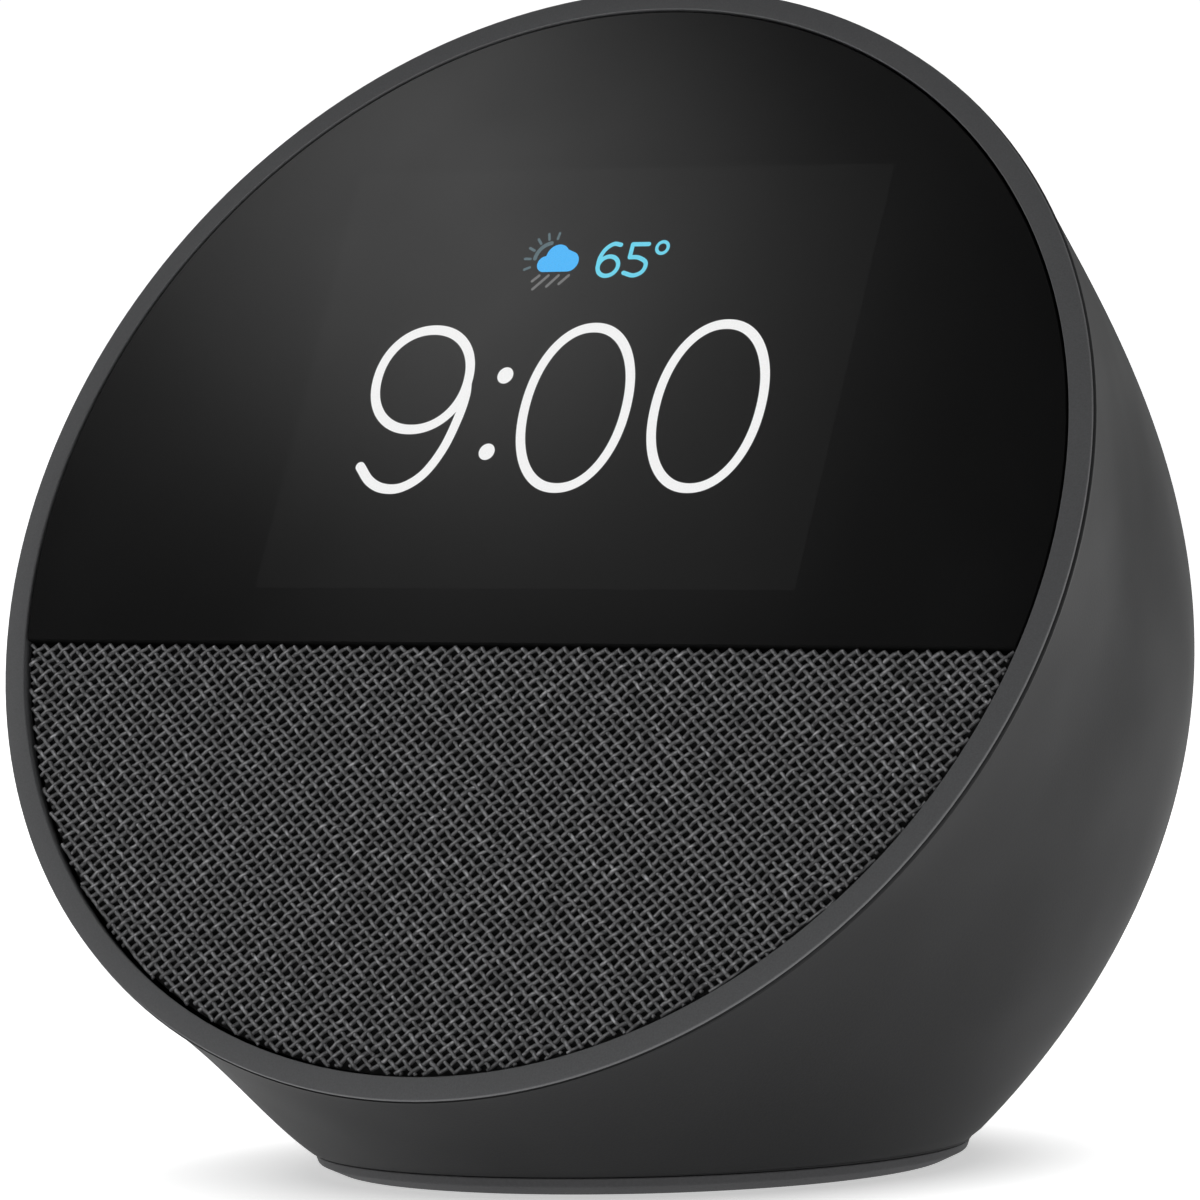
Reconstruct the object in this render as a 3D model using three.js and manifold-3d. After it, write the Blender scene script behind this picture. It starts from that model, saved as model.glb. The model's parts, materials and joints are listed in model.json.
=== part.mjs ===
// Smart display: a round tilted face with a glass upper part and a fabric lower part, set in a
// rounded housing that stands on a small rubber foot. Millimetres, +Z up, the face looks to -Y.
// The origin is on the floor, at the middle of the bounding box.

import * as THREE from 'three';
import { mergeVertices } from 'three/addons/utils/BufferGeometryUtils.js';
import Module from 'manifold-3d';

const wasm = await Module();
wasm.setup();

// ---------------------------------------------------------------- driving dimensions

const GAP = 0.3; // clearance between neighbouring pieces
const ROUND = 48; // sides of the large circles
const WELD = 1e-4; // vertices closer than this are one vertex

// The face: a disc of this radius, leaning back from the vertical.
const RIM_RADIUS = 56.5;
const FACE_TILT = THREE.MathUtils.degToRad(28.2);
const FACE_CENTRE = new THREE.Vector3(0, -25.13, 59.8);

// The housing runs from the rim to a level circle at the base.
const BASE_RADIUS = 30.8;
const BASE_CENTRE_Y = -8.33;
const FOOT_HEIGHT = 1.5;
const BODY_BOTTOM = FOOT_HEIGHT + GAP;
const HOUSING_FRONT = 0.7; // depth of the housing's front edge behind the face plane
const WALL_AT_RIM = 1.2;
const WALL = 2.2;

// Each meridian of the housing is one cubic curve from rim to base. Its directions are in degrees,
// and its handles are fractions of the distance from rim to base. All change round the face.
const RIM_TAPER = { top: 0, side: 16.9, bottom: 6.3 };
const RIM_PULL = { top: 0.404, side: 0.334, bottom: 0.075 };
const BASE_PULL = { top: 0.672, side: 0.38, bottom: 0.237 };
const BASE_SLOPE = { top: 38, side: 42.7, bottom: 27.7 };

// Pieces in the face, as depths behind the face plane.
const BEZEL = { outer: 56.4, inner: 54.2, cap: 0.4, skirtOuter: 54.8, skirtDepth: 1.4 };
const COVER_RADIUS = 53.8;
const SPLIT_HEIGHT = -11.4; // the line between glass and fabric, above the face centre
const SPLIT_GAP = 0.4;
const GLASS = { front: 0.1, back: 1.25 };
const GASKET = { front: 1.55, back: 2.75, width: 2, chordWidth: 1.6 };
const FABRIC = { front: 0.25, back: 1.05 };
const GRILLE = { front: 1.35, back: 2.75, edge: 1 };
const GRILLE_HOLES = { radius: 2.1, pitch: 6.4, field: 18.5 };
const PANEL = { width: 63, height: 48.5, centreUp: 15.9, front: 1.55, back: 3.85 };
const TRAY = { width: 62, height: 48, front: 4.15, back: 4.75, wall: 0.5 };
const CHASSIS = { wallFront: 3.05, front: 5.05, back: 6.85, outer: 53, inner: 51.4, backRadius: 51.8 };
const FLEX_SLOT = { width: 21, low: 41.7, high: 44.5 };

// The loudspeaker, on its own axis square to the face.
const SPEAKER_UP = -29;
const SPEAKER_HOLE = 19.3;
const DRIVER = { flange: 22.3, lip: 17.5, wall: 1.1, flangeFront: 8.75, flangeBack: 9.95 };
const SEAT = { front: 16.2, back: 17.4 };
const SPEAKER_SEAL = { outer: 22.2, inner: 19.5, front: 7.15, back: 8.45 };
const CONE = { outer: 13.4, inner: 6.9, front: 8.2, back: 13.2, thickness: 0.5 };
const SURROUND = { thickness: 0.45, flange: 1.5 };
const DOME = { rise: 2.2, thickness: 0.4 };
const MAGNET = { outer: 13, inner: 7.7, front: 17.7, back: 22.7 };
const COIL = { outer: 6.6, inner: 6, front: 13.7, back: 21 };
const POLE = { radius: 5.4, front: 15.4, back: 25.4 };
const ENCLOSURE = { radius: 24, wall: 1.4, front: 10.25, back: 34, floor: 9 };

// Electronics behind the chassis.
const BOARD = { width: 62, height: 42, centreUp: 16.9, front: 12, back: 13.6 };
const BOARD_HOLES = { across: 27.5, low: -0.5, high: 34.5, standoff: 2.6 };
const SHIELD = { width: 34, height: 26, depth: 3, wall: 0.5, up: 17 };
const CHIP = { size: 14, depth: 1.2 };
const SPREADER = { width: 58, height: 30, thickness: 1.4 };
const ANTENNA = { width: 7, height: 22, thickness: 0.6, across: 44, up: -6 };

// The three buttons sit in a row on top, behind the rim, and are pressed straight in.
const BUTTON = { pitch: 13.5, radius: 4.4, along: 0.1, proud: 0.45, flange: 5.3, stem: 1.6 };
const BUTTON_DEPTHS = { middleFlange: 2.9, sideFlange: 6, flangeThickness: 0.8, stemEnd: 7.4 };
const SWITCH = { width: 5, front: -2.5, back: 2.5, top: 8.1, bottom: 9.3 };
const BUTTON_BOARD = { width: 39, front: -5, back: 9, top: 9.6, bottom: 10.8 };
const MIC = { across: 6.75, behind: 6.4, hole: 0.6, outer: 1.5, top: 3.1 };
const BRACKET = { width: 54, front: -3.5, back: 6.5, top: 11.1, bottom: 12.6 };
const BRACKET_POSTS = { across: 24, radius: 2.7 };

// The power inlet, level and square to the back.
const INLET = { height: 24, mouth: 5.3, cupWall: 1.3, cupFront: 33.6, reach: 60 };
const JACK = { width: 14, height: 11, front: 21.3, back: 33.3 };
const SOCKET = { radius: 3.1, front: 23.6, pin: 1, pinBack: 32.5 };
const POWER_BOARD = { width: 24, front: 5, back: 30, thickness: 1.6 };
const POWER_POSTS = { across: 8, y: 14.5, radius: 2.6 };

// The base.
const LEDGE = { outer: 35, inner: 22, bottom: 4.2, top: 6.2 };
const BASE_PLATE = { radius: 28.4, top: 3.9 };
const BASE_SCREWS = { count: 3, circle: 25.4 };
const WEIGHT = { radius: 21.5, top: 8.7 };
const FOOT = { top: 30.4, bottom: 28.2, shoulder: 0.9, draft: 0.3 };

// Screws: head and shaft radii, and the clearance holes that they pass through.
const SCREW = { head: 2.2, headHeight: 1.3, shaft: 0.9, hole: 1.25, headHole: 2.6, headRecess: 1.5 };
const CHASSIS_SCREWS = [[46, 14], [-46, 14], [40, -26], [-40, -26]];
const SCREW_POST = { radius: 3, back: 36, bore: 12 };

// ---------------------------------------------------------------- materials

function finish(color, roughness, metalness = 0) {
  return new THREE.MeshStandardMaterial({ color, roughness, metalness });
}

const screwSteel = finish(0x8f9194, 0.35, 1);
const circuitBoard = finish(0x1f5a3a, 0.6);
const blackPlastic = finish(0x202122, 0.7);
const blackRubber = finish(0x161616, 0.9);
const ribbonFilm = finish(0x8a5a1e, 0.5);

// ---------------------------------------------------------------- geometry helpers

function weldedGeometry(geometry) {
  const bare = geometry.clone();
  bare.deleteAttribute('normal');
  bare.deleteAttribute('uv');
  return mergeVertices(bare, WELD);
}

// Keeps the triangles that have an area, and turns them all round if they face inwards.
function closedGeometry(geometry) {
  const welded = weldedGeometry(geometry);
  const position = welded.attributes.position;
  const corners = [new THREE.Vector3(), new THREE.Vector3(), new THREE.Vector3()];
  const kept = [];
  let volume = 0;
  for (let i = 0; i < welded.index.count; i += 3) {
    const triangle = [0, 1, 2].map((k) => welded.index.getX(i + k));
    if (new Set(triangle).size === 3) {
      triangle.forEach((vertex, k) => corners[k].fromBufferAttribute(position, vertex));
      volume += corners[0].dot(corners[1].clone().cross(corners[2]));
      kept.push(...triangle);
    }
  }
  welded.setIndex(volume < 0 ? kept.reverse() : kept);
  return welded;
}

function toSolid(geometry) {
  const closed = closedGeometry(geometry);
  const vertProperties = new Float32Array(closed.attributes.position.array);
  const triVerts = Uint32Array.from(closed.index.array);
  return new wasm.Manifold(new wasm.Mesh({ numProp: 3, vertProperties, triVerts }));
}

function toGeometry(solid) {
  const mesh = solid.getMesh();
  const geometry = new THREE.BufferGeometry();
  geometry.setAttribute('position', new THREE.BufferAttribute(mesh.vertProperties, 3));
  geometry.setIndex(new THREE.BufferAttribute(mesh.triVerts, 1));
  return geometry;
}

function join(first, ...others) {
  return toGeometry(others.reduce((solid, other) => solid.add(toSolid(other)), toSolid(first)));
}

function cut(first, ...others) {
  return toGeometry(others.reduce((solid, other) => solid.subtract(toSolid(other)), toSolid(first)));
}

function common(first, second) {
  return toGeometry(toSolid(first).intersect(toSolid(second)));
}

// A body of revolution about Z, from [radius, z] points.
function lathe(profile, sides = ROUND) {
  const points = profile.map(([radius, z]) => new THREE.Vector2(radius, z));
  return closedGeometry(new THREE.LatheGeometry(points, sides).rotateX(Math.PI / 2));
}

function rod(radius, low, high, sides = 12) {
  return lathe([[0, low], [radius, low], [radius, high], [0, high]], sides);
}

function tube(outer, inner, low, high, sides = ROUND) {
  const profile = [[inner, low], [outer, low], [outer, high], [inner, high], [inner, low]];
  return lathe(profile, sides);
}

function block(width, depth, height, x = 0, y = 0, z = 0) {
  return new THREE.BoxGeometry(width, depth, height).translate(x, y, z);
}

// A flat piece parallel to the face, between two depths behind it.
function plate(shape, front, back) {
  const options = { depth: back - front, bevelEnabled: false, curveSegments: ROUND / 2 };
  return new THREE.ExtrudeGeometry(shape, options).translate(0, 0, -back);
}

function rectangle(width, height, centreUp = 0, centreAcross = 0) {
  const shape = new THREE.Shape();
  shape.moveTo(centreAcross - width / 2, centreUp - height / 2);
  shape.lineTo(centreAcross + width / 2, centreUp - height / 2);
  shape.lineTo(centreAcross + width / 2, centreUp + height / 2);
  shape.lineTo(centreAcross - width / 2, centreUp + height / 2);
  return shape;
}

// The part of a disc above a level chord, or below it.
function discAbove(radius, chord) {
  const start = Math.asin(chord / radius);
  return new THREE.Shape().absarc(0, 0, radius, start, Math.PI - start, false);
}

function discBelow(radius, chord) {
  const start = Math.asin(chord / radius);
  return new THREE.Shape().absarc(0, 0, radius, Math.PI - start, 2 * Math.PI + start, false);
}

function wire(points, radius, sides = 8) {
  const section = new THREE.Shape();
  for (let i = 0; i < sides; i += 1) {
    const angle = (2 * Math.PI * i) / sides;
    const corner = [radius * Math.cos(angle), radius * Math.sin(angle)];
    if (i === 0) section.moveTo(...corner);
    else section.lineTo(...corner);
  }
  const extrudePath = new THREE.CatmullRomCurve3(points);
  const steps = Math.ceil(extrudePath.getLength() / (5 * radius));
  return new THREE.ExtrudeGeometry(section, { extrudePath, steps, curveSegments: 1 });
}

// A flat ribbon of the given width across X, whose edge follows the points in the YZ plane.
function ribbon(points, thickness, width) {
  const curve = new THREE.CatmullRomCurve3(points);
  const count = 4 * points.length;
  const sides = [[], []];
  for (let i = 0; i <= count; i += 1) {
    const centre = curve.getPoint(i / count);
    const along = curve.getTangent(i / count);
    const offset = new THREE.Vector2(along.z, -along.y).normalize().multiplyScalar(thickness / 2);
    sides[0].push(new THREE.Vector2(centre.y + offset.x, centre.z + offset.y));
    sides[1].unshift(new THREE.Vector2(centre.y - offset.x, centre.z - offset.y));
  }
  const options = { depth: width, bevelEnabled: false };
  const strip = new THREE.ExtrudeGeometry(new THREE.Shape(sides.flat()), options);
  const toYZ = new THREE.Matrix4().set(0, 0, 1, -width / 2, 1, 0, 0, 0, 0, 1, 0, 0, 0, 0, 0, 1);
  return strip.applyMatrix4(toYZ);
}

// ---------------------------------------------------------------- frames

// Face frame: X to the right, Y up along the face, Z out of the face.
const faceMatrix = new THREE.Matrix4().makeRotationX(Math.PI / 2 - FACE_TILT).setPosition(FACE_CENTRE);

function facePoint(across, up, depth) {
  return new THREE.Vector3(across, up, -depth).applyMatrix4(faceMatrix);
}

function inFace(geometry) {
  return geometry.clone().applyMatrix4(faceMatrix);
}

// Turns a shape made along Z to lie along Y, at the inlet's height.
function alongBack(geometry) {
  return geometry.rotateX(-Math.PI / 2).translate(0, 0, INLET.height);
}

// ---------------------------------------------------------------- the housing's surface

// A value at one angle round the face, from its values at the top, the sides and the bottom.
function roundFace({ top, side, bottom }, angle) {
  const cosine = Math.cos(angle);
  return side + (cosine * (top - bottom)) / 2 + cosine ** 2 * ((top + bottom) / 2 - side);
}

function faceRadial(angle) {
  return new THREE.Vector3(Math.sin(angle), Math.cos(angle), 0).transformDirection(faceMatrix);
}

function levelRadial(angle) {
  return new THREE.Vector3(Math.sin(angle), Math.cos(angle), 0);
}

// The curve from rim to base at one angle round the face, counted from the top.
function meridian(angle) {
  const rim = facePoint(RIM_RADIUS * Math.sin(angle), RIM_RADIUS * Math.cos(angle), HOUSING_FRONT);
  const base = levelRadial(angle).multiplyScalar(BASE_RADIUS);
  base.add(new THREE.Vector3(0, BASE_CENTRE_Y, BODY_BOTTOM));
  const chord = rim.distanceTo(base);
  const taper = THREE.MathUtils.degToRad(roundFace(RIM_TAPER, angle));
  const rimDirection = new THREE.Vector3(0, 0, -1).transformDirection(faceMatrix);
  rimDirection.addScaledVector(faceRadial(angle), -Math.tan(taper)).normalize();
  const slope = THREE.MathUtils.degToRad(roundFace(BASE_SLOPE, angle));
  const baseDirection = levelRadial(angle).multiplyScalar(Math.cos(slope));
  baseDirection.z = Math.sin(slope);
  return new THREE.CubicBezierCurve3(
    rim,
    rim.clone().addScaledVector(rimDirection, chord * roundFace(RIM_PULL, angle)),
    base.clone().addScaledVector(baseDirection, chord * roundFace(BASE_PULL, angle)),
    base,
  );
}

// A point at the given inset inside the outer surface; a negative inset stands proud of it.
function housingPoint(angle, along, inset = 0) {
  const inward = faceRadial(angle).lerp(levelRadial(angle), along).normalize();
  return meridian(angle).getPoint(along).addScaledVector(inward, -inset);
}

function housingRow(along, inset) {
  const angles = Array.from({ length: ROUND }, (_, i) => (2 * Math.PI * i) / ROUND);
  return angles.map((angle) => housingPoint(angle, along, inset));
}

// Joins rows of points, each a closed ring, into one skin. The rows close on each other, or a
// fan closes each end.
function skin(rows, closesOnItself) {
  const ring = rows[0].length;
  const points = rows.flat();
  const triangles = [];
  const lastRow = closesOnItself ? rows.length : rows.length - 1;
  for (let row = 0; row < lastRow; row += 1) {
    const next = (row + 1) % rows.length;
    for (let i = 0; i < ring; i += 1) {
      const j = (i + 1) % ring;
      const [a, b, c, d] = [row * ring + i, row * ring + j, next * ring + j, next * ring + i];
      triangles.push(a, b, c, a, c, d);
    }
  }
  if (!closesOnItself) {
    const last = (rows.length - 1) * ring;
    for (let i = 1; i < ring - 1; i += 1) {
      triangles.push(0, i + 1, i);
      triangles.push(last, last + i, last + i + 1);
    }
  }
  const geometry = new THREE.BufferGeometry();
  const position = new Float32Array(points.flatMap((point) => point.toArray()));
  geometry.setAttribute('position', new THREE.BufferAttribute(position, 3));
  geometry.setIndex(triangles);
  return closedGeometry(geometry);
}

// The whole space inside the outer surface, as one solid.
function housingSolid(inset, steps = 14) {
  const rows = Array.from({ length: steps + 1 }, (_, i) => housingRow(i / steps, inset));
  return skin(rows, false);
}

function housingShell() {
  const outerSteps = 13;
  const innerSteps = 8;
  const wallAt = (along) => Math.min(WALL, THREE.MathUtils.lerp(WALL_AT_RIM, WALL, 4 * along));
  const rows = [];
  for (let i = 0; i <= outerSteps; i += 1) rows.push(housingRow(i / outerSteps, 0));
  for (let i = innerSteps; i >= 0; i -= 1) rows.push(housingRow(i / innerSteps, wallAt(i / innerSteps)));
  return skin(rows, true);
}

// Button frame: its origin on the housing at the middle of the row, Z out along the surface's
// normal, X to the right.
function buttonFrame() {
  const step = 0.01;
  const origin = housingPoint(0, BUTTON.along);
  const down = housingPoint(0, BUTTON.along + step).sub(origin).normalize();
  const across = new THREE.Vector3(1, 0, 0);
  const normal = new THREE.Vector3().crossVectors(across, down);
  return new THREE.Matrix4().makeBasis(across, down, normal).setPosition(origin);
}

const buttonMatrix = buttonFrame();

function inButtonFrame(geometry) {
  return geometry.clone().applyMatrix4(buttonMatrix);
}

// ---------------------------------------------------------------- assembly

const display = new THREE.Group();
const face = new THREE.Group();
face.applyMatrix4(faceMatrix);
const speaker = new THREE.Group();
speaker.position.y = SPEAKER_UP;
const buttons = new THREE.Group();
buttons.applyMatrix4(buttonMatrix);
face.add(speaker);
display.add(face, buttons);

function place(parent, name, geometry, material) {
  const mesh = new THREE.Mesh(geometry, material);
  mesh.name = name;
  parent.add(mesh);
  return mesh;
}

// ---------------------------------------------------------------- housing

const powerBoardTop = INLET.height - JACK.height / 2 - GAP;

// The posts and the ledge inside, which are trimmed to the middle of the wall.
function housingPosts() {
  const posts = CHASSIS_SCREWS.map(([across, up]) => {
    const post = rod(SCREW_POST.radius, -SCREW_POST.back, -CHASSIS.back - GAP);
    return inFace(post.translate(across, up, 0));
  });
  for (const side of [-1, 1]) {
    const post = rod(BRACKET_POSTS.radius, -BRACKET.top + GAP, 0);
    posts.push(inButtonFrame(post.translate(side * BRACKET_POSTS.across, 0, 0)));
    const powerPost = rod(POWER_POSTS.radius, LEDGE.bottom + 1, powerBoardTop - POWER_BOARD.thickness - GAP);
    posts.push(powerPost.translate(side * POWER_POSTS.across, POWER_POSTS.y, 0));
  }
  posts.push(tube(LEDGE.outer, LEDGE.inner, LEDGE.bottom, LEDGE.top).translate(0, BASE_CENTRE_Y, 0));
  const middleOfWall = housingSolid(WALL / 2);
  return posts.map((post) => common(post, middleOfWall));
}

// The openings through the wall: three button holes, two microphone holes and the inlet.
function housingOpenings() {
  const reach = 9;
  const openings = [-1, 0, 1].map((side) => {
    const hole = rod(BUTTON.radius + GAP, -reach, reach, 24);
    return inButtonFrame(hole.translate(side * BUTTON.pitch, 0, 0));
  });
  for (const side of [-1, 1]) {
    const hole = rod(MIC.hole, -reach, reach, 8);
    openings.push(inButtonFrame(hole.translate(side * MIC.across, MIC.behind, 0)));
  }
  openings.push(alongBack(rod(INLET.mouth + INLET.cupWall + GAP, INLET.cupFront - GAP, INLET.reach, 24)));
  return openings;
}

// The holes for screws, in the posts and the ledge.
function housingBores() {
  const bores = CHASSIS_SCREWS.map(([across, up]) =>
    inFace(rod(SCREW.hole, -CHASSIS.back - SCREW_POST.bore, 0).translate(across, up, 0)));
  for (const side of [-1, 1]) {
    const bore = rod(SCREW.hole, -BRACKET.top, -SWITCH.top);
    bores.push(inButtonFrame(bore.translate(side * BRACKET_POSTS.across, 0, 0)));
    const powerBore = rod(SCREW.hole, LEDGE.top + 1, powerBoardTop);
    bores.push(powerBore.translate(side * POWER_POSTS.across, POWER_POSTS.y, 0));
  }
  for (const [x, y] of baseScrewPlaces()) bores.push(rod(SCREW.hole, 0, LEDGE.top + 1).translate(x, y, 0));
  return bores;
}

function rearHousing() {
  return cut(join(housingShell(), ...housingPosts()), ...housingOpenings(), ...housingBores());
}

function baseScrewPlaces() {
  return Array.from({ length: BASE_SCREWS.count }, (_, i) => {
    const angle = Math.PI / 6 + (2 * Math.PI * i) / BASE_SCREWS.count;
    const x = BASE_SCREWS.circle * Math.cos(angle);
    return [x, BASE_CENTRE_Y + BASE_SCREWS.circle * Math.sin(angle)];
  });
}

// A pan-head screw along Z: the head's seat at z = 0, its shaft below.
function screw(length) {
  const { head, headHeight, shaft } = SCREW;
  return lathe([
    [0, -length], [shaft, -length], [shaft, 0], [head, 0], [head, headHeight * 0.6],
    [head * 0.7, headHeight], [0, headHeight],
  ], 8);
}

place(display, 'rear_housing', rearHousing(), finish(0x3f4042, 0.6));

// ---------------------------------------------------------------- face

function bezelRing() {
  const { outer, inner, cap, skirtOuter, skirtDepth } = BEZEL;
  const edge = 0.15;
  return lathe([
    [inner, -skirtDepth], [skirtOuter, -skirtDepth], [skirtOuter, -cap], [outer, -cap],
    [outer, -edge], [outer - edge, 0], [inner + edge, 0], [inner, -edge], [inner, -skirtDepth],
  ]);
}

function glassGasket() {
  const chord = SPLIT_HEIGHT + SPLIT_GAP;
  const shape = discAbove(COVER_RADIUS, chord);
  shape.holes.push(discAbove(COVER_RADIUS - GASKET.width, chord + GASKET.chordWidth));
  return plate(shape, GASKET.front, GASKET.back);
}

function holePath(x, y, radius, sides = 6) {
  const path = new THREE.Path();
  for (let i = 0; i < sides; i += 1) {
    const angle = (2 * Math.PI * i) / sides;
    const corner = [x + radius * Math.cos(angle), y + radius * Math.sin(angle)];
    if (i === 0) path.moveTo(...corner);
    else path.lineTo(...corner);
  }
  return path;
}

function grillePlate() {
  const { radius, pitch, field } = GRILLE_HOLES;
  const top = SPLIT_HEIGHT - SPLIT_GAP;
  const shape = discBelow(COVER_RADIUS - GAP, top);
  const rowStep = (pitch * Math.sqrt(3)) / 2;
  const rows = Math.ceil(field / rowStep);
  for (let row = -rows; row <= rows; row += 1) {
    for (let column = -rows; column <= rows; column += 1) {
      const x = column * pitch + (row % 2) * (pitch / 2);
      const y = row * rowStep;
      const insideField = Math.hypot(x, y) + radius <= field;
      const belowTop = SPEAKER_UP + y + radius < top - GRILLE.edge;
      if (insideField && belowTop) shape.holes.push(holePath(x, SPEAKER_UP + y, radius));
    }
  }
  return plate(shape, GRILLE.front, GRILLE.back);
}

function backlightTray() {
  const { width, height, front, back, wall } = TRAY;
  const shape = rectangle(width, height, PANEL.centreUp);
  const lid = plate(shape, front + wall / 2, back);
  const frame = rectangle(width, height, PANEL.centreUp);
  frame.holes.push(rectangle(width - 4 * wall, height - 4 * wall, PANEL.centreUp));
  return join(lid, plate(frame, front, back));
}

function boardHolePlaces() {
  const { across, low, high } = BOARD_HOLES;
  return [[across, low], [-across, low], [across, high], [-across, high]];
}

function frontChassis() {
  const { wallFront, front, back, outer, inner, backRadius } = CHASSIS;
  const disc = lathe([
    [0, -back], [backRadius, -back], [outer, -front], [outer, -wallFront], [inner, -wallFront],
    [inner, -front], [0, -front],
  ]);
  const standoffs = boardHolePlaces().map(([x, y]) =>
    rod(BOARD_HOLES.standoff, -BOARD.front + GAP, -front).translate(x, y, 0));
  const holes = [...boardHolePlaces(), ...CHASSIS_SCREWS].map(([x, y]) =>
    rod(SCREW.hole, -BOARD.back, 0).translate(x, y, 0));
  holes.push(rod(SPEAKER_HOLE, -BOARD.front, 0, ROUND).translate(0, SPEAKER_UP, 0));
  const { width, low, high } = FLEX_SLOT;
  holes.push(plate(rectangle(width, high - low, (low + high) / 2), 0, BOARD.front));
  return cut(join(disc, ...standoffs), ...holes);
}

const glassShape = discAbove(COVER_RADIUS, SPLIT_HEIGHT + SPLIT_GAP / 2);
const fabricShape = discBelow(COVER_RADIUS, SPLIT_HEIGHT - SPLIT_GAP / 2);
const panelShape = rectangle(PANEL.width, PANEL.height, PANEL.centreUp);

place(face, 'bezel_ring', bezelRing(), finish(0x5b5c5e, 0.55));
place(face, 'glass_cover', plate(glassShape, GLASS.front, GLASS.back), finish(0x101113, 0.08));
place(face, 'glass_gasket', glassGasket(), blackRubber);
place(face, 'fabric_grille', plate(fabricShape, FABRIC.front, FABRIC.back), finish(0x3a3b3d, 0.95));
place(face, 'grille_plate', grillePlate(), finish(0x1b1c1d, 0.7));
place(face, 'display_panel', plate(panelShape, PANEL.front, PANEL.back), finish(0x0b0c0f, 0.2));
place(face, 'backlight_tray', backlightTray(), finish(0xb4b6b8, 0.35, 1));
place(face, 'front_chassis', frontChassis(), blackPlastic);
CHASSIS_SCREWS.forEach(([across, up], i) => {
  const mesh = place(face, `chassis_screw_${i + 1}`, screw(8), screwSteel);
  mesh.position.set(across, up, -CHASSIS.front + GAP);
});

// ---------------------------------------------------------------- loudspeaker

// A flanged basket, with four windows in its sloping wall.
function driverBasket() {
  const { flange, lip, wall, flangeFront, flangeBack } = DRIVER;
  const shell = lathe([
    [lip, -flangeFront], [flange, -flangeFront], [flange, -flangeBack], [lip + wall, -flangeBack],
    [MAGNET.outer + wall, -SEAT.back], [MAGNET.inner, -SEAT.back], [MAGNET.inner, -SEAT.front],
    [MAGNET.outer - wall / 2, -SEAT.front], [lip, -flangeBack], [lip, -flangeFront],
  ], 24);
  const window = { width: 12, depth: 14, height: 3.4 };
  const windows = [0, 1, 2, 3].map((quarter) => {
    const middle = -(flangeBack + SEAT.front) / 2;
    const opening = block(window.width, window.depth, window.height, 0, window.depth, middle);
    return opening.rotateZ(Math.PI / 4 + (quarter * Math.PI) / 2);
  });
  return cut(shell, ...windows);
}

// A half-round roll between the cone and the basket, with a flat flange outside it.
function coneSurround() {
  const front = CONE.front;
  const inside = CONE.outer + GAP;
  const outside = DRIVER.lip - 0.1;
  const middle = (inside + outside) / 2;
  const roll = (outside - inside) / 2;
  const { thickness, flange } = SURROUND;
  const steps = 5;
  const profile = [
    [outside + flange, -front - thickness / 2],
    [outside + flange, -front + thickness / 2],
  ];
  const arc = (radius, from, to) => {
    for (let i = 0; i <= steps; i += 1) {
      const angle = from + ((to - from) * i) / steps;
      profile.push([middle + radius * Math.cos(angle), -front + radius * Math.sin(angle)]);
    }
  };
  arc(roll, 0.15, Math.PI);
  arc(roll - thickness, Math.PI, 0);
  profile.push([outside, -front - thickness / 2], profile[0]);
  return lathe(profile, 24);
}

function speakerCone() {
  const { outer, inner, front, back, thickness } = CONE;
  const section = [
    [outer, -front], [outer, -front - thickness], [inner, -back - thickness], [inner, -back],
  ];
  return lathe([...section, section[0]], 32);
}

function dustCap() {
  const radius = CONE.inner - GAP;
  const steps = 5;
  const dome = (drop) => Array.from({ length: steps + 1 }, (_, i) => {
    const part = i / steps;
    return [radius * part, -CONE.back + DOME.rise * (1 - part ** 2) - drop];
  });
  return lathe([...dome(0), ...dome(DOME.thickness).reverse()], 24);
}

function speakerYoke() {
  const plateFront = MAGNET.back + GAP;
  return lathe([
    [0, -POLE.back], [MAGNET.outer, -POLE.back], [MAGNET.outer, -plateFront],
    [POLE.radius, -plateFront], [POLE.radius, -POLE.front], [0, -POLE.front],
  ], 32);
}

// An open-fronted can round the driver, with a level floor above the counterweight.
function speakerEnclosure() {
  const { radius, wall, front, back, floor } = ENCLOSURE;
  const size = 200;
  const above = (height) => block(size, size, size, 0, 0, height + size / 2);
  const can = (outer, low, high) => inFace(rod(outer, low, high, 36).translate(0, SPEAKER_UP, 0));
  const outside = common(can(radius, -back, -front), above(floor));
  const inside = common(can(radius - wall, -back + wall, -front + wall), above(floor + wall));
  return cut(outside, inside);
}

const speakerSeal = tube(SPEAKER_SEAL.outer, SPEAKER_SEAL.inner, -SPEAKER_SEAL.back, -SPEAKER_SEAL.front, 36);
const magnetRing = tube(MAGNET.outer, MAGNET.inner, -MAGNET.back, -MAGNET.front, 32);
const coilTube = tube(COIL.outer, COIL.inner, -COIL.back, -COIL.front, 24);

place(speaker, 'speaker_gasket', speakerSeal, blackRubber);
place(speaker, 'speaker_basket', driverBasket(), finish(0x2a2b2c, 0.5, 1));
place(speaker, 'cone_surround', coneSurround(), finish(0x151515, 0.8));
place(speaker, 'speaker_cone', speakerCone(), finish(0x26272a, 0.85));
place(speaker, 'dust_cap', dustCap(), finish(0x1c1d20, 0.6));
place(speaker, 'voice_coil', coilTube, finish(0xb06a3a, 0.4, 1));
place(speaker, 'speaker_magnet', magnetRing, finish(0x3c3c40, 0.5, 1));
place(speaker, 'speaker_yoke', speakerYoke(), finish(0x9a9c9e, 0.35, 1));
place(display, 'speaker_enclosure', speakerEnclosure(), blackPlastic);

// ---------------------------------------------------------------- electronics

const chipFront = BOARD.back + GAP;

function mainBoard() {
  const board = plate(rectangle(BOARD.width, BOARD.height, BOARD.centreUp), BOARD.front, BOARD.back);
  const holes = boardHolePlaces().map(([x, y]) => rod(SCREW.hole, -BOARD.back - 1, 0).translate(x, y, 0));
  return cut(board, ...holes);
}

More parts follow.
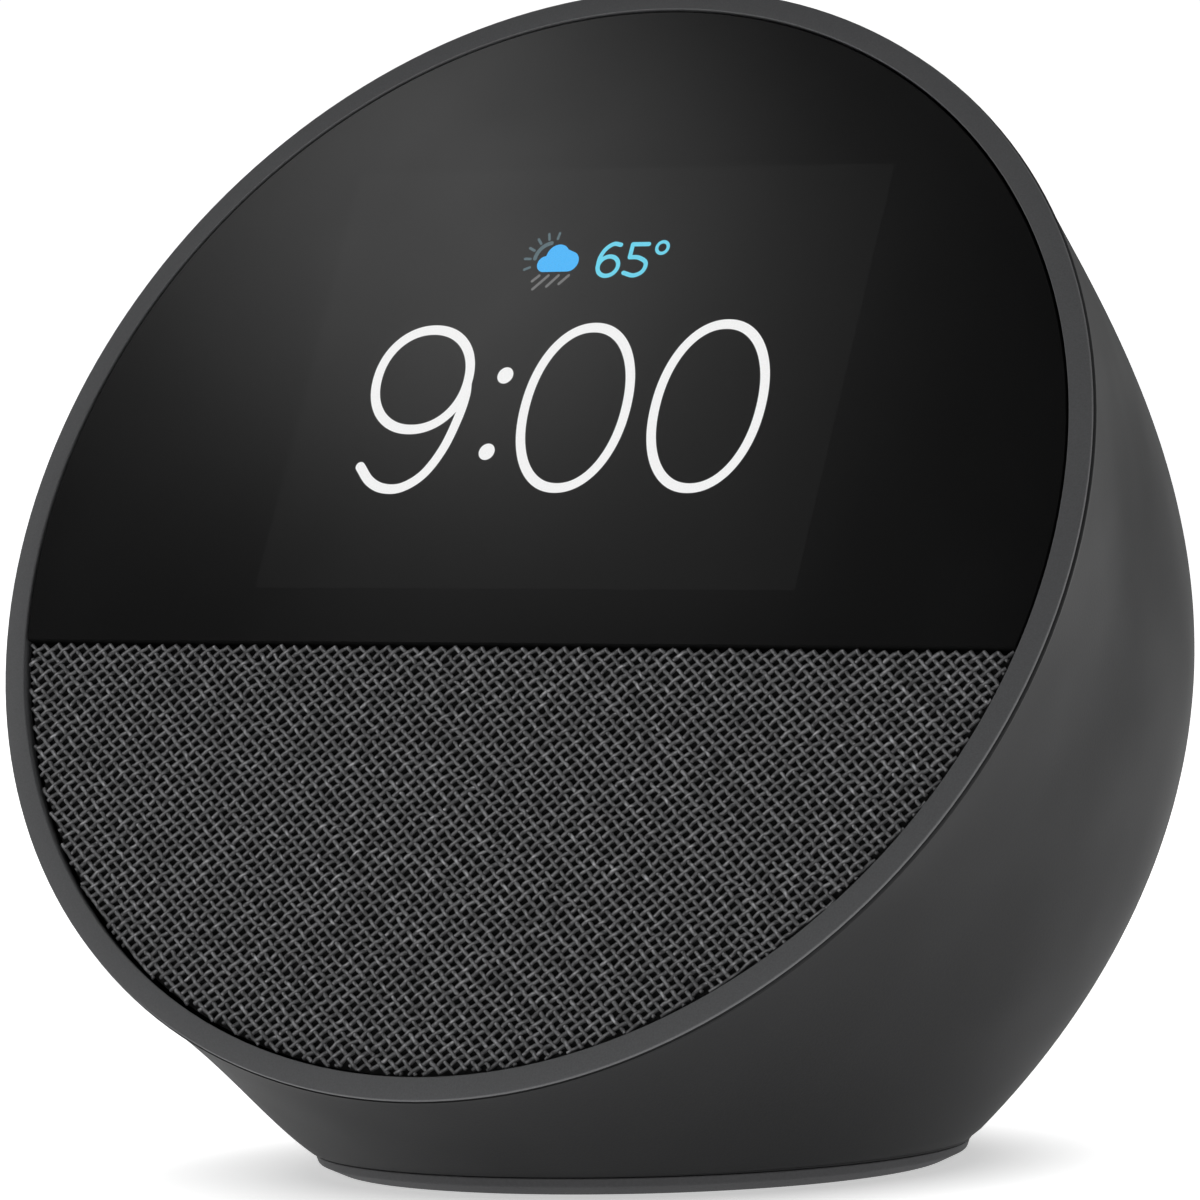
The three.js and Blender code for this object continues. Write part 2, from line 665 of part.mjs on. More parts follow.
function processor() {
  return plate(rectangle(CHIP.size, CHIP.size, SHIELD.up), chipFront, chipFront + CHIP.depth);
}

// A thin metal lid over the processor, open towards the board.
function boardShield() {
  const { width, height, depth, wall, up } = SHIELD;
  const lid = plate(rectangle(width, height, up), chipFront, chipFront + depth);
  const inner = rectangle(width - 2 * wall, height - 2 * wall, up);
  return cut(lid, plate(inner, chipFront - 1, chipFront + depth - wall));
}

function heatSpreader() {
  const front = chipFront + SHIELD.depth + GAP;
  return plate(rectangle(SPREADER.width, SPREADER.height, SHIELD.up), front, front + SPREADER.thickness);
}

place(face, 'main_board', mainBoard(), circuitBoard);
place(face, 'processor', processor(), finish(0x18181a, 0.5));
place(face, 'board_shield', boardShield(), finish(0xb9bbbd, 0.3, 1));
place(face, 'heat_spreader', heatSpreader(), finish(0xa9abad, 0.4, 1));
boardHolePlaces().forEach(([x, y], i) => {
  const mesh = place(face, `board_screw_${i + 1}`, screw(5), screwSteel);
  mesh.rotation.x = Math.PI;
  mesh.position.set(x, y, -BOARD.back - GAP);
});
for (const [side, sign] of [['left', -1], ['right', 1]]) {
  const shape = rectangle(ANTENNA.width, ANTENNA.height, ANTENNA.up, sign * ANTENNA.across);
  const front = CHASSIS.back + GAP;
  place(face, `antenna_${side}`, plate(shape, front, front + ANTENNA.thickness), finish(0x9c7a3c, 0.5));
}

// ---------------------------------------------------------------- buttons

// A cap that follows the housing's curve, a flange that keeps it in, and a stem to the switch.
function button(across, flangeTop) {
  const overlap = 0.1;
  const shaft = rod(BUTTON.radius, -flangeTop - overlap, BUTTON.radius, 24).translate(across, 0, 0);
  const curved = housingSolid(-BUTTON.proud).applyMatrix4(buttonMatrix.clone().invert());
  const cap = common(shaft, curved);
  const flangeBottom = flangeTop + BUTTON_DEPTHS.flangeThickness;
  const flange = rod(BUTTON.flange, -flangeBottom, -flangeTop, 24).translate(across, 0, 0);
  const stem = rod(BUTTON.stem, -BUTTON_DEPTHS.stemEnd, -flangeTop - overlap).translate(across, 0, 0);
  return join(cap, flange, stem);
}

// A flat piece of the button frame, between two depths below the housing's surface.
function slab({ width, front, back, top, bottom }, across = 0) {
  return block(width, back - front, bottom - top, across, (front + back) / 2, -(top + bottom) / 2);
}

function buttonBracket() {
  const holes = [-1, 1].map((side) =>
    rod(SCREW.hole, -BRACKET.bottom - 1, 0).translate(side * BRACKET_POSTS.across, 0, 0));
  return cut(slab(BRACKET), ...holes);
}

const BUTTON_ROW = [['volume_down', -1], ['mic_off', 0], ['volume_up', 1]];
for (const [name, side] of BUTTON_ROW) {
  const across = side * BUTTON.pitch;
  const flangeTop = side === 0 ? BUTTON_DEPTHS.middleFlange : BUTTON_DEPTHS.sideFlange;
  place(buttons, `${name}_button`, button(across, flangeTop), finish(0x46474a, 0.6));
  place(buttons, `${name}_switch`, slab(SWITCH, across), finish(0x2b2b2d, 0.5));
}
place(buttons, 'button_board', slab(BUTTON_BOARD), circuitBoard);
place(buttons, 'button_bracket', buttonBracket(), blackPlastic);
for (const [side, sign] of [['left', -1], ['right', 1]]) {
  const boot = tube(MIC.outer, MIC.hole, -BUTTON_BOARD.top + GAP, -MIC.top, 12);
  place(buttons, `mic_boot_${side}`, boot.translate(sign * MIC.across, MIC.behind, 0), blackRubber);
  const mesh = place(buttons, `bracket_screw_${side}`, screw(4), screwSteel);
  mesh.rotation.x = Math.PI;
  mesh.position.set(sign * BRACKET_POSTS.across, 0, -BRACKET.bottom - GAP);
}

// ---------------------------------------------------------------- power inlet

// The recess round the inlet, trimmed just below the housing's surface.
function inletCup() {
  const { mouth, cupWall, cupFront, reach } = INLET;
  const sunk = 0.1;
  return common(alongBack(tube(mouth + cupWall, mouth, cupFront, reach, 24)), housingSolid(sunk));
}

function powerJack() {
  const middle = (JACK.front + JACK.back) / 2;
  const body = block(JACK.width, JACK.back - JACK.front, JACK.height, 0, middle, INLET.height);
  return cut(body, alongBack(rod(SOCKET.radius, SOCKET.front, JACK.back + 1, 20)));
}

function powerBoard() {
  const { width, front, back, thickness } = POWER_BOARD;
  const middle = powerBoardTop - thickness / 2;
  const board = block(width, back - front, thickness, 0, (front + back) / 2, middle);
  const holes = [-1, 1].map((side) => {
    const hole = rod(SCREW.hole, middle - thickness, middle + thickness);
    return hole.translate(side * POWER_POSTS.across, POWER_POSTS.y, 0);
  });
  return cut(board, ...holes);
}

const jackPin = alongBack(rod(SOCKET.pin, SOCKET.front + GAP, SOCKET.pinBack));
place(display, 'inlet_cup', inletCup(), finish(0x2a2b2c, 0.6));
place(display, 'power_jack', powerJack(), finish(0x141415, 0.5));
place(display, 'jack_pin', jackPin, finish(0xc9c9c4, 0.25, 1));
place(display, 'power_board', powerBoard(), circuitBoard);
for (const [side, sign] of [['left', -1], ['right', 1]]) {
  const mesh = place(display, `power_screw_${side}`, screw(5), screwSteel);
  mesh.position.set(sign * POWER_POSTS.across, POWER_POSTS.y, powerBoardTop + GAP);
}

// ---------------------------------------------------------------- base

function basePlate() {
  const disc = rod(BASE_PLATE.radius, BODY_BOTTOM, BASE_PLATE.top, ROUND).translate(0, BASE_CENTRE_Y, 0);
  const holes = baseScrewPlaces().flatMap(([x, y]) => [
    rod(SCREW.hole, 0, BASE_PLATE.top + 1).translate(x, y, 0),
    rod(SCREW.headHole, 0, BODY_BOTTOM + SCREW.headRecess).translate(x, y, 0),
  ]);
  return cut(disc, ...holes);
}

function rubberFoot() {
  const { top, bottom, shoulder, draft } = FOOT;
  return lathe([
    [0, 0], [bottom, 0], [top - draft, shoulder], [top, FOOT_HEIGHT], [0, FOOT_HEIGHT],
  ]).translate(0, BASE_CENTRE_Y, 0);
}

const weight = rod(WEIGHT.radius, BASE_PLATE.top + GAP, WEIGHT.top, 36).translate(0, BASE_CENTRE_Y, 0);
place(display, 'base_plate', basePlate(), finish(0x232425, 0.7));
place(display, 'counterweight', weight, finish(0x85878a, 0.45, 1));
place(display, 'rubber_foot', rubberFoot(), finish(0x2c2d2e, 0.9));
baseScrewPlaces().forEach(([x, y], i) => {
  const mesh = place(display, `base_screw_${i + 1}`, screw(3.4), screwSteel);
  mesh.rotation.x = Math.PI;
  mesh.position.set(x, y, BODY_BOTTOM + SCREW.headRecess - GAP / 2);
});

// ---------------------------------------------------------------- leads and ribbons

const RIBBON_THICKNESS = 0.2;
const LEAD_RADIUS = { speaker: 0.8, power: 0.9 };
const boardTop = BOARD.centreUp + BOARD.height / 2;
const boardLow = BOARD.centreUp - BOARD.height / 2;

function buttonPoint(y, depth) {
  return new THREE.Vector3(0, y, -depth).applyMatrix4(buttonMatrix);
}

// From the panel's top edge, back through the slot in the chassis, and down to the main board.
function displayFlex() {
  const slot = (FLEX_SLOT.low + FLEX_SLOT.high) / 2;
  return ribbon([
    facePoint(0, PANEL.centreUp + PANEL.height / 2 + GAP, 3),
    facePoint(0, slot, 4.4),
    facePoint(0, slot - 0.4, 7.5),
    facePoint(0, slot - 2.2, 9.8),
    facePoint(0, slot - 7, BOARD.front - GAP - RIBBON_THICKNESS / 2),
  ], RIBBON_THICKNESS, 16);
}

// From below the button board to the back of the main board.
function buttonFlex() {
  return ribbon([
    buttonPoint(BUTTON_BOARD.back - 1, BUTTON_BOARD.bottom + GAP + RIBBON_THICKNESS),
    buttonPoint(BUTTON_BOARD.back - 0.5, BUTTON_BOARD.bottom + 4),
    facePoint(0, boardTop, BOARD.back + 4),
    facePoint(0, boardTop - 3, BOARD.back + GAP + RIBBON_THICKNESS),
  ], RIBBON_THICKNESS, 8);
}

// From the top of the speaker's enclosure, up behind it to the main board.
function speakerLead() {
  return wire([
    facePoint(-12, -16, ENCLOSURE.back + 1.2),
    facePoint(-13, -8, ENCLOSURE.back + 3),
    facePoint(-15, boardLow + 2, 28),
    facePoint(-16, boardLow + 4, BOARD.back + 1.4),
  ], LEAD_RADIUS.speaker);
}

// From the power board, up past the enclosure to the main board.
function powerLead() {
  return wire([
    new THREE.Vector3(6, POWER_BOARD.front + 2, powerBoardTop + 1.3),
    new THREE.Vector3(7, POWER_BOARD.front + 3, powerBoardTop + 7.8),
    new THREE.Vector3(9, POWER_BOARD.front + 6, powerBoardTop + 21.8),
    facePoint(14, boardLow + 2, 28),
    facePoint(16, boardLow + 4, BOARD.back + 1.4),
  ], LEAD_RADIUS.power);
}

place(display, 'display_flex', displayFlex(), ribbonFilm);
place(display, 'button_flex', buttonFlex(), ribbonFilm);
place(display, 'speaker_lead', speakerLead(), finish(0x9a1f1f, 0.5));
place(display, 'power_lead', powerLead(), finish(0x1c1c1c, 0.5));

export default display;
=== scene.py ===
import json
import math
import random

import bmesh
import bpy
from mathutils import Matrix, Vector
from mathutils.bvhtree import BVHTree


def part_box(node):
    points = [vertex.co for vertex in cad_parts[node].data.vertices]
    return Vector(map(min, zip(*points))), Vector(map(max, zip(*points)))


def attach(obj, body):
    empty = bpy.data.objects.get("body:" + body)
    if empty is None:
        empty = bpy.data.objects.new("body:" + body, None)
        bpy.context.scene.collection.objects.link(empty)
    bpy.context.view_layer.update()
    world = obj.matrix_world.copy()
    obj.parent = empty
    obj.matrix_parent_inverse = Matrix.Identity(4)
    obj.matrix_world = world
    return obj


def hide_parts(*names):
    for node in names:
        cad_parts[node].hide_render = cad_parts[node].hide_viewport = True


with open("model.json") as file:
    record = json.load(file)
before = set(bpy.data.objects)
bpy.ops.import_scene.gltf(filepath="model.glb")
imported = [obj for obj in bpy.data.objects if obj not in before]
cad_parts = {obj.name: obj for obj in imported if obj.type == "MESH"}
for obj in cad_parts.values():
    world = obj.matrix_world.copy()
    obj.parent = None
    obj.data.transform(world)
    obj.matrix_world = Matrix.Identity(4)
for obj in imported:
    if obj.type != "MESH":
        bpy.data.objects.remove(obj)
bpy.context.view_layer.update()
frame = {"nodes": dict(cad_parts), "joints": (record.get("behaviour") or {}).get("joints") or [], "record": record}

MM = 0.001
FULL_TURN = 2 * math.pi
QUARTER = [math.radians(15 * k) for k in range(7)]  # angles over a quarter turn, for rounded edges
ROUND = 192  # sides of the large circles
SMALL_ROUND = 96  # sides of the buttons and of the inlet

# ------------------------------------------------------------------ sizes

# The housing runs from a rim round the face to a round base. The curve between them changes round the
# face. It leaves the rim at a taper and meets the base at a slope, both in degrees, and each pull says
# how far it keeps to that direction, as a share of the distance between its ends.
RIM_RADIUS = 56.5
RIM_DEPTH = 0.7
BASE_RADIUS = 30.8
BODY_BOTTOM = 1.8
RIM_TAPER = {"top": 0, "side": 16.9, "bottom": 6.3}
RIM_PULL = {"top": 0.404, "side": 0.334, "bottom": 0.075}
BASE_PULL = {"top": 0.672, "side": 0.38, "bottom": 0.237}
BASE_SLOPE = {"top": 38, "side": 42.7, "bottom": 27.7}

# The housing's wall, its rounded edges, and how far in the rows under the base are.
WALL = 1.6
RIM_WALL = 1.2
RIM_EDGE = 0.35
BASE_EDGE = 0.2
BASE_INSETS = (3.0, 7.5)

# Rows of points along the housing's curve, as shares of it: crowded near the rim on the outside.
OUTSIDE_ROWS = {"count": 90, "crowding": 1.15, "first": 0.012}
INSIDE_ROWS = {"count": 38, "first": 0.97, "step": 0.025}

BEZEL = {"inner": 54.2, "outer": 56.4, "slope": 0.3, "edge": 0.12, "lip": 1.0, "cap": 0.6,
         "skirt_outer": 54.8, "skirt": 1.4}
COVER_RADIUS = 53.8
SPLIT_HEIGHT = -11.4
SPLIT_GAP = 0.4
GLASS = {"front": 0.1, "back": 1.25, "radius": 53.93, "edge": 0.06}

# Depths behind the face plane: the lit signs, and the screen's area under them.
SIGN_DEPTHS = (GLASS["front"] - 0.02, GLASS["front"] + 0.3)
SCREEN_DEPTHS = (GLASS["front"] - 0.01, GLASS["front"] + 0.2)
SCREEN = {"width": 57.8, "height": 43.2, "centre_up": 15.9}

# The net: its cell, which leans the threads 41 degrees either way, and its flattened yarn, whose size
# varies from thread to thread and whose points stray a little.
CELL = {"width": 1.456, "height": 1.254}
YARN = {"width": 0.42, "thickness": 0.3, "stray": 0.06, "wave": 0.065, "middle_depth": 0.6}
YARN_SIZE = (0.88, 1.1)
YARN_SIDES = 6
NET_EDGE = {"top": -11.42, "radius": 53.86, "first_cross": -11.48}
NET_REACH = {"threads": 120, "steps": 170}  # far enough to cross the whole face
SCRIM = {"inset": 0.05, "depth": 1.0, "ripple": 0.02, "rings": 24}

# The yarn's light and shade, painted into its colour: least midway between two crossings (painted shade), varied
# at random from point to point, with a few bright specks (painted glints), and falling off from the middle of the
# yarn to its sides (a painted highlight along its middle, painted shade on its sides).
YARN_TONE_AND_PAINTED_LIGHT = {"midway": 0.65, "dullest": 0.3, "painted_glint": 1.8, "painted_glint_share": 0.06, "side": 0.42}

# The buttons. Their depths are below the level of the housing's surface at the middle button, which is
# SURFACE_LEVEL above the tops of their switches.
BUTTON = {"radius": 4.35, "hole": 4.7, "proud": 0.38, "edge": 0.45, "flange": 5.3, "stem": 1.6, "rings": 10}
SURFACE_LEVEL = 8.1
FLANGE_DEPTHS = {"volume_down": 6, "mic_off": 2.9, "volume_up": 6}
FLANGE_THICKNESS = 0.8
STEM_END = 7.4
MARK_RISE = 0.02
MARK_SUNK = 0.05
MIC = {"across": 6.75, "behind": 6.4, "radius": 0.6}
BUTTON_CUT = (-5.9, 6)  # how far the cutters of the holes reach, below and above that level
MIC_CUT = (-4, 6)

INLET = {"mouth": 5.3, "wall": 1.3, "gap": 0.3, "sunk": 0.1, "edge": 0.25, "floor": 0.3}
INLET_CUT = (0.5, 25)
JACK = {"bore": 3.1, "floor": 2.3, "bore_edge": 0.25, "edge": 0.3}
FOOT = {"top": 30.62, "height": 1.73, "shoulder": 30.32, "shoulder_height": 0.9, "bottom": 28.3,
        "hollow_edge": 22.3, "hollow_radius": 20.3, "hollow": 0.35, "top_inner": 26.62, "edge": 0.2}

CAMERA = {"azimuth": 30.76, "elevation": 2.93, "roll": -1.43, "distance": 1000, "lens": 321.75}
AIM = {"height": 50, "ahead": 0.23, "across": -2.669, "up": 2.611}


# ------------------------------------------------------------------ the face's own frame

def face_frame():
    """The face's matrix: X across, Y up along the face, Z out of it, from the cone's axis and the ring."""
    cone_joint = next(j for j in frame["joints"] if j["name"] == "cone_travel")
    out = Vector(cone_joint["axis"]).normalized()
    ring = [v.co for v in frame["nodes"]["bezel_ring"].data.vertices]
    front = max(co.dot(out) for co in ring)
    foremost = [co for co in ring if co.dot(out) > front - 1e-6]
    centre = sum(foremost, Vector()) / len(foremost)
    across = Vector((1, 0, 0))
    up = out.cross(across)
    matrix = Matrix((across, up, out)).transposed().to_4x4()
    matrix.translation = centre
    return matrix


FACE = face_frame()
FACE_CENTRE = FACE.translation / MM
ACROSS, UP, OUT = (FACE.col[i].to_3d() for i in range(3))
foot_low, foot_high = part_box("rubber_foot")
BASE_CENTRE_Y = (foot_low.y + foot_high.y) / 2 / MM


# ------------------------------------------------------------------ making meshes

def to_object(name, vertices, faces, material, sharp_angle=40):
    """A mesh object from points in metres, with smooth shading between its sharp edges."""
    mesh = bpy.data.meshes.new(name)
    mesh.from_pydata([tuple(v) for v in vertices], [], [tuple(f) for f in faces])
    work = bmesh.new()
    work.from_mesh(mesh)
    bmesh.ops.remove_doubles(work, verts=work.verts, dist=1e-7)
    bmesh.ops.recalc_face_normals(work, faces=work.faces)
    work.to_mesh(mesh)
    work.free()
    mesh.shade_smooth()
    mesh.set_sharp_from_angle(angle=math.radians(sharp_angle))
    mesh.materials.append(material)
    piece = bpy.data.objects.new(name, mesh)
    bpy.context.scene.collection.objects.link(piece)
    return piece


def join_rows(rows, closes=False):
    """Faces between rings of points. The last ring meets the first if closes."""
    count = len(rows[0])
    faces = []
    for r in range(len(rows) if closes else len(rows) - 1):
        s = (r + 1) % len(rows)
        for i in range(count):
            j = (i + 1) % count
            faces.append((r * count + i, r * count + j, s * count + j, s * count + i))
    return faces


def all_points(rows):
    return [p for row in rows for p in row]


def soften(profile, radius, steps):
    """An open profile with each corner rounded, as far as its sides allow."""
    points = [Vector(p) for p in profile]
    result = [points[0]]
    for previous, corner, following in zip(points, points[1:], points[2:]):
        before = previous - corner
        after = following - corner
        reach = min(radius, before.length * 0.45, after.length * 0.45)
        start = corner + before.normalized() * reach
        end = corner + after.normalized() * reach
        for k in range(steps + 1):
            t = k / steps
            result.append(start * (1 - t) ** 2 + corner * (2 * t * (1 - t)) + end * t ** 2)
    return [*result, points[-1]]


def lathe(profile, matrix, sides=ROUND, closed=True):
    """Points in metres and faces for a profile of (radius, height) turned about the matrix's Z axis."""
    rows = []
    for radius, height in profile:
        ring = []
        for i in range(sides):
            angle = FULL_TURN * i / sides
            local = Vector((radius * math.cos(angle), radius * math.sin(angle), height)) * MM
            ring.append(matrix @ local)
        rows.append(ring)
    return all_points(rows), join_rows(rows, closes=closed)


def place(piece, body, slot, *replaced):
    """Says which body a piece rides on and the CAD nodes that it stands for. Its slot argument is not used."""
    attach(piece, body)
    if replaced:
        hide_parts(*replaced)
    return piece


# ------------------------------------------------------------------ materials

def start_material(name):
    material = bpy.data.materials.new(name)
    material.use_nodes = True
    tree = material.node_tree
    return material, tree, tree.nodes["Principled BSDF"]


def noise(tree, scale, detail=2.0, stretch=(1, 1, 1)):
    """A noise over the object's own coordinates, with scale in cycles per metre."""
    coordinates = tree.nodes.new("ShaderNodeTexCoord")
    mapping = tree.nodes.new("ShaderNodeMapping")
    mapping.inputs["Scale"].default_value = stretch
    texture = tree.nodes.new("ShaderNodeTexNoise")
    texture.inputs["Scale"].default_value = scale
    texture.inputs["Detail"].default_value = detail
    tree.links.new(coordinates.outputs["Object"], mapping.inputs["Vector"])
    tree.links.new(mapping.outputs["Vector"], texture.inputs["Vector"])
    return texture.outputs["Fac"]


def between(tree, value, low, high, start=0.3, end=0.7):
    """Maps a noise value to a range of numbers."""
    node = tree.nodes.new("ShaderNodeMapRange")
    node.inputs["From Min"].default_value = start
    node.inputs["From Max"].default_value = end
    node.inputs["To Min"].default_value = low
    node.inputs["To Max"].default_value = high
    tree.links.new(value, node.inputs["Value"])
    return node.outputs["Result"]


def shades(tree, value, dark, light, start=0.3, end=0.7):
    """Maps a value to a colour between two colours."""
    ramp = tree.nodes.new("ShaderNodeValToRGB")
    ramp.color_ramp.elements[0].position = start
    ramp.color_ramp.elements[0].color = (*dark, 1)
    ramp.color_ramp.elements[1].position = end
    ramp.color_ramp.elements[1].color = (*light, 1)
    tree.links.new(value, ramp.inputs["Fac"])
    return ramp.outputs["Color"]


def add_bump(tree, principled, value, height, strength=1.0):
    bump = tree.nodes.new("ShaderNodeBump")
    bump.inputs["Strength"].default_value = strength
    bump.inputs["Distance"].default_value = height
    tree.links.new(value, bump.inputs["Height"])
    tree.links.new(bump.outputs["Normal"], principled.inputs["Normal"])


def scaled(color, factor):
    return tuple(min(1.0, c * factor) for c in color)


def moulded(name, color, roughness, grain=0.18, depth=0.012, mottle=0.08, specular=0.5):
    """Moulded plastic or rubber with a fine spark-eroded grain, whose size and depth are given."""
    material, tree, principled = start_material(name)
    fine = noise(tree, 1 / (grain * MM), detail=3)
    broad = noise(tree, 45)
    tint = shades(tree, fine, scaled(color, 1 - mottle), scaled(color, 1 + mottle))
    tree.links.new(tint, principled.inputs["Base Color"])
    tree.links.new(between(tree, broad, roughness - 0.05, roughness + 0.05), principled.inputs["Roughness"])
    principled.inputs["Specular IOR Level"].default_value = specular
    add_bump(tree, principled, fine, depth * MM)
    return material


def metal(name, color, roughness, stretch=(1, 1, 14), scale=260):
    """Metal with fine lines along one direction."""
    material, tree, principled = start_material(name)
    lines = noise(tree, scale, detail=4, stretch=stretch)
    principled.inputs["Metallic"].default_value = 1
    tint = shades(tree, lines, scaled(color, 0.85), scaled(color, 1.1))
    tree.links.new(tint, principled.inputs["Base Color"])
    tree.links.new(between(tree, lines, roughness - 0.08, roughness + 0.1), principled.inputs["Roughness"])
    add_bump(tree, principled, lines, 0.004 * MM)
    return material


def woven(name, color, light, roughness, painted_yarn_light_and_tone=False):
    """Yarn of lighter and darker filaments. With the flag set, a value stored at the mesh's points scales its
    lightness: painted highlights and painted shade, with a random tone.
    """
    material, tree, principled = start_material(name)
    filaments = noise(tree, 3200, detail=3)
    patches = noise(tree, 900, detail=2)
    tint = between(tree, filaments, 0.4, 1.1)
    if painted_yarn_light_and_tone:
        # The mesh's per-point value paints highlights along the yarn's middle and shade midway between crossings
        # and on its sides.
        attribute = tree.nodes.new("ShaderNodeAttribute")
        attribute.attribute_name = "painted_yarn_light_and_tone"
        product = tree.nodes.new("ShaderNodeMath")
        product.operation = "MULTIPLY"
        tree.links.new(tint, product.inputs[0])
        tree.links.new(attribute.outputs["Fac"], product.inputs[1])
        tint = product.outputs[0]
    tree.links.new(shades(tree, tint, color, light, 0, 1), principled.inputs["Base Color"])
    tree.links.new(between(tree, patches, roughness - 0.15, roughness + 0.1), principled.inputs["Roughness"])
    principled.inputs["Specular IOR Level"].default_value = 0.3
    principled.inputs["Sheen Weight"].default_value = 0.1
    principled.inputs["Sheen Roughness"].default_value = 0.5
    add_bump(tree, principled, filaments, 0.02 * MM, 0.6)
    return material


def dark_glass(name, color, roughness):
    """Glass with black behind it, with the faintest unevenness in its gloss."""
    material, tree, principled = start_material(name)
    smears = noise(tree, 38, detail=3)
    tint = shades(tree, smears, scaled(color, 0.9), scaled(color, 1.1))
    tree.links.new(tint, principled.inputs["Base Color"])
    gloss = between(tree, smears, roughness - 0.015, roughness + 0.015)
    tree.links.new(gloss, principled.inputs["Roughness"])
    principled.inputs["IOR"].default_value = 1.5
    add_bump(tree, principled, smears, 0.001 * MM, 0.5)
    return material


def lit(name, color):
    """A lit part of the screen, whose brightness varies a little from pixel to pixel."""
    material, tree, principled = start_material(name)
    pixels = noise(tree, 7000, detail=0)
    principled.inputs["Base Color"].default_value = (0.01, 0.01, 0.01, 1)
    tree.links.new(between(tree, pixels, 0.22, 0.28), principled.inputs["Roughness"])
    add_bump(tree, principled, pixels, 0.0005 * MM)
    tree.links.new(shades(tree, pixels, scaled(color, 0.96), color), principled.inputs["Emission Color"])
    principled.inputs["Emission Strength"].default_value = 1.0
    return material


def circuit(name, mask, copper):
    """Solder mask with faint tracks under it."""
    material, tree, principled = start_material(name)
    coordinates = tree.nodes.new("ShaderNodeTexCoord")
    tracks = tree.nodes.new("ShaderNodeTexBrick")
    tracks.inputs["Scale"].default_value = 420
    tracks.inputs["Mortar Size"].default_value = 0.03
    tracks.inputs["Color1"].default_value = (*mask, 1)
    tracks.inputs["Color2"].default_value = (*scaled(mask, 0.8), 1)
    tracks.inputs["Mortar"].default_value = (*copper, 1)
    tree.links.new(coordinates.outputs["Object"], tracks.inputs["Vector"])
    tree.links.new(tracks.outputs["Color"], principled.inputs["Base Color"])
    rough = noise(tree, 300)
    tree.links.new(between(tree, rough, 0.35, 0.5), principled.inputs["Roughness"])
    add_bump(tree, principled, tracks.outputs["Fac"], 0.02 * MM)
    return material


def slot_color(name):
    slots = {m["slot"]: m for m in frame["record"]["materials"]}
    return tuple(slots[name]["base_color"][:3])


# The housing and the glass are darker than their colours in the record, so that they look right in the
# strong light that makes the floor white.
CHARCOAL = scaled(slot_color("housing"), 0.22)
HOUSING = moulded("housing_plastic", CHARCOAL, 0.6, grain=0.22, mottle=0.12, specular=0.2)
BUTTON_PLASTIC = moulded("button_plastic", scaled(CHARCOAL, 1.1), 0.5, grain=0.2, depth=0.008)
MARK = moulded("mark_ink", (0.42, 0.42, 0.43), 0.5, grain=0.1, depth=0.002, mottle=0.05)
RING_GREY = scaled(slot_color("bezel"), 1.1)
RING = moulded("bezel_plastic", RING_GREY, 0.5, grain=0.16, depth=0.014, mottle=0.1, specular=0.35)
FOOT_GREY = scaled(slot_color("foot_rubber"), 1.5)
FOOT_RUBBER = moulded("foot_rubber", FOOT_GREY, 0.7, grain=0.3, depth=0.02, specular=0.3)
SOCKET_PLASTIC = moulded("socket_plastic", slot_color("inlet_plastic"), 0.4, grain=0.25, depth=0.006)

# The glass, with its edge painted dull so that it catches no light, and the screen's area behind it.
GLASS_ROUGHNESS = 0.19
GLASS_BLACK = dark_glass("cover_glass", (0.0035, 0.0035, 0.0036), GLASS_ROUGHNESS)
GLASS_EDGE = moulded("glass_edge_paint", (0.004, 0.004, 0.004), 0.8, grain=0.3, depth=0.004, specular=0.05)
SCREEN_GLASS = dark_glass("screen_glass", (0.0092, 0.0092, 0.0092), GLASS_ROUGHNESS)
TIME_WHITE = lit("time_white", (0.88, 0.88, 0.88))
TEMPERATURE_CYAN = lit("temperature_cyan", (0.15, 0.64, 0.82))
CLOUD_BLUE = lit("cloud_blue", (0.07, 0.46, 0.93))
SUN_GREY = lit("sun_grey", (0.1, 0.15, 0.17))
RAIN_GREY = lit("rain_grey", (0.17, 0.17, 0.17))

# The net's yarn runs from almost black, where painted shade falls, to brighter than the fabric's mean colour,
# where a painted highlight falls. The cloth behind it is black.
YARN_SHADE_TO_HIGHLIGHT_COLORS = [scaled(slot_color("grille_fabric"), share) for share in (0.12, 3.3)]
NET_YARN = woven("net_yarn", *YARN_SHADE_TO_HIGHLIGHT_COLORS, 0.5, painted_yarn_light_and_tone=True)
SCRIM_CLOTH = woven("scrim_cloth", (0.004, 0.004, 0.004), (0.01, 0.01, 0.01), 0.8)


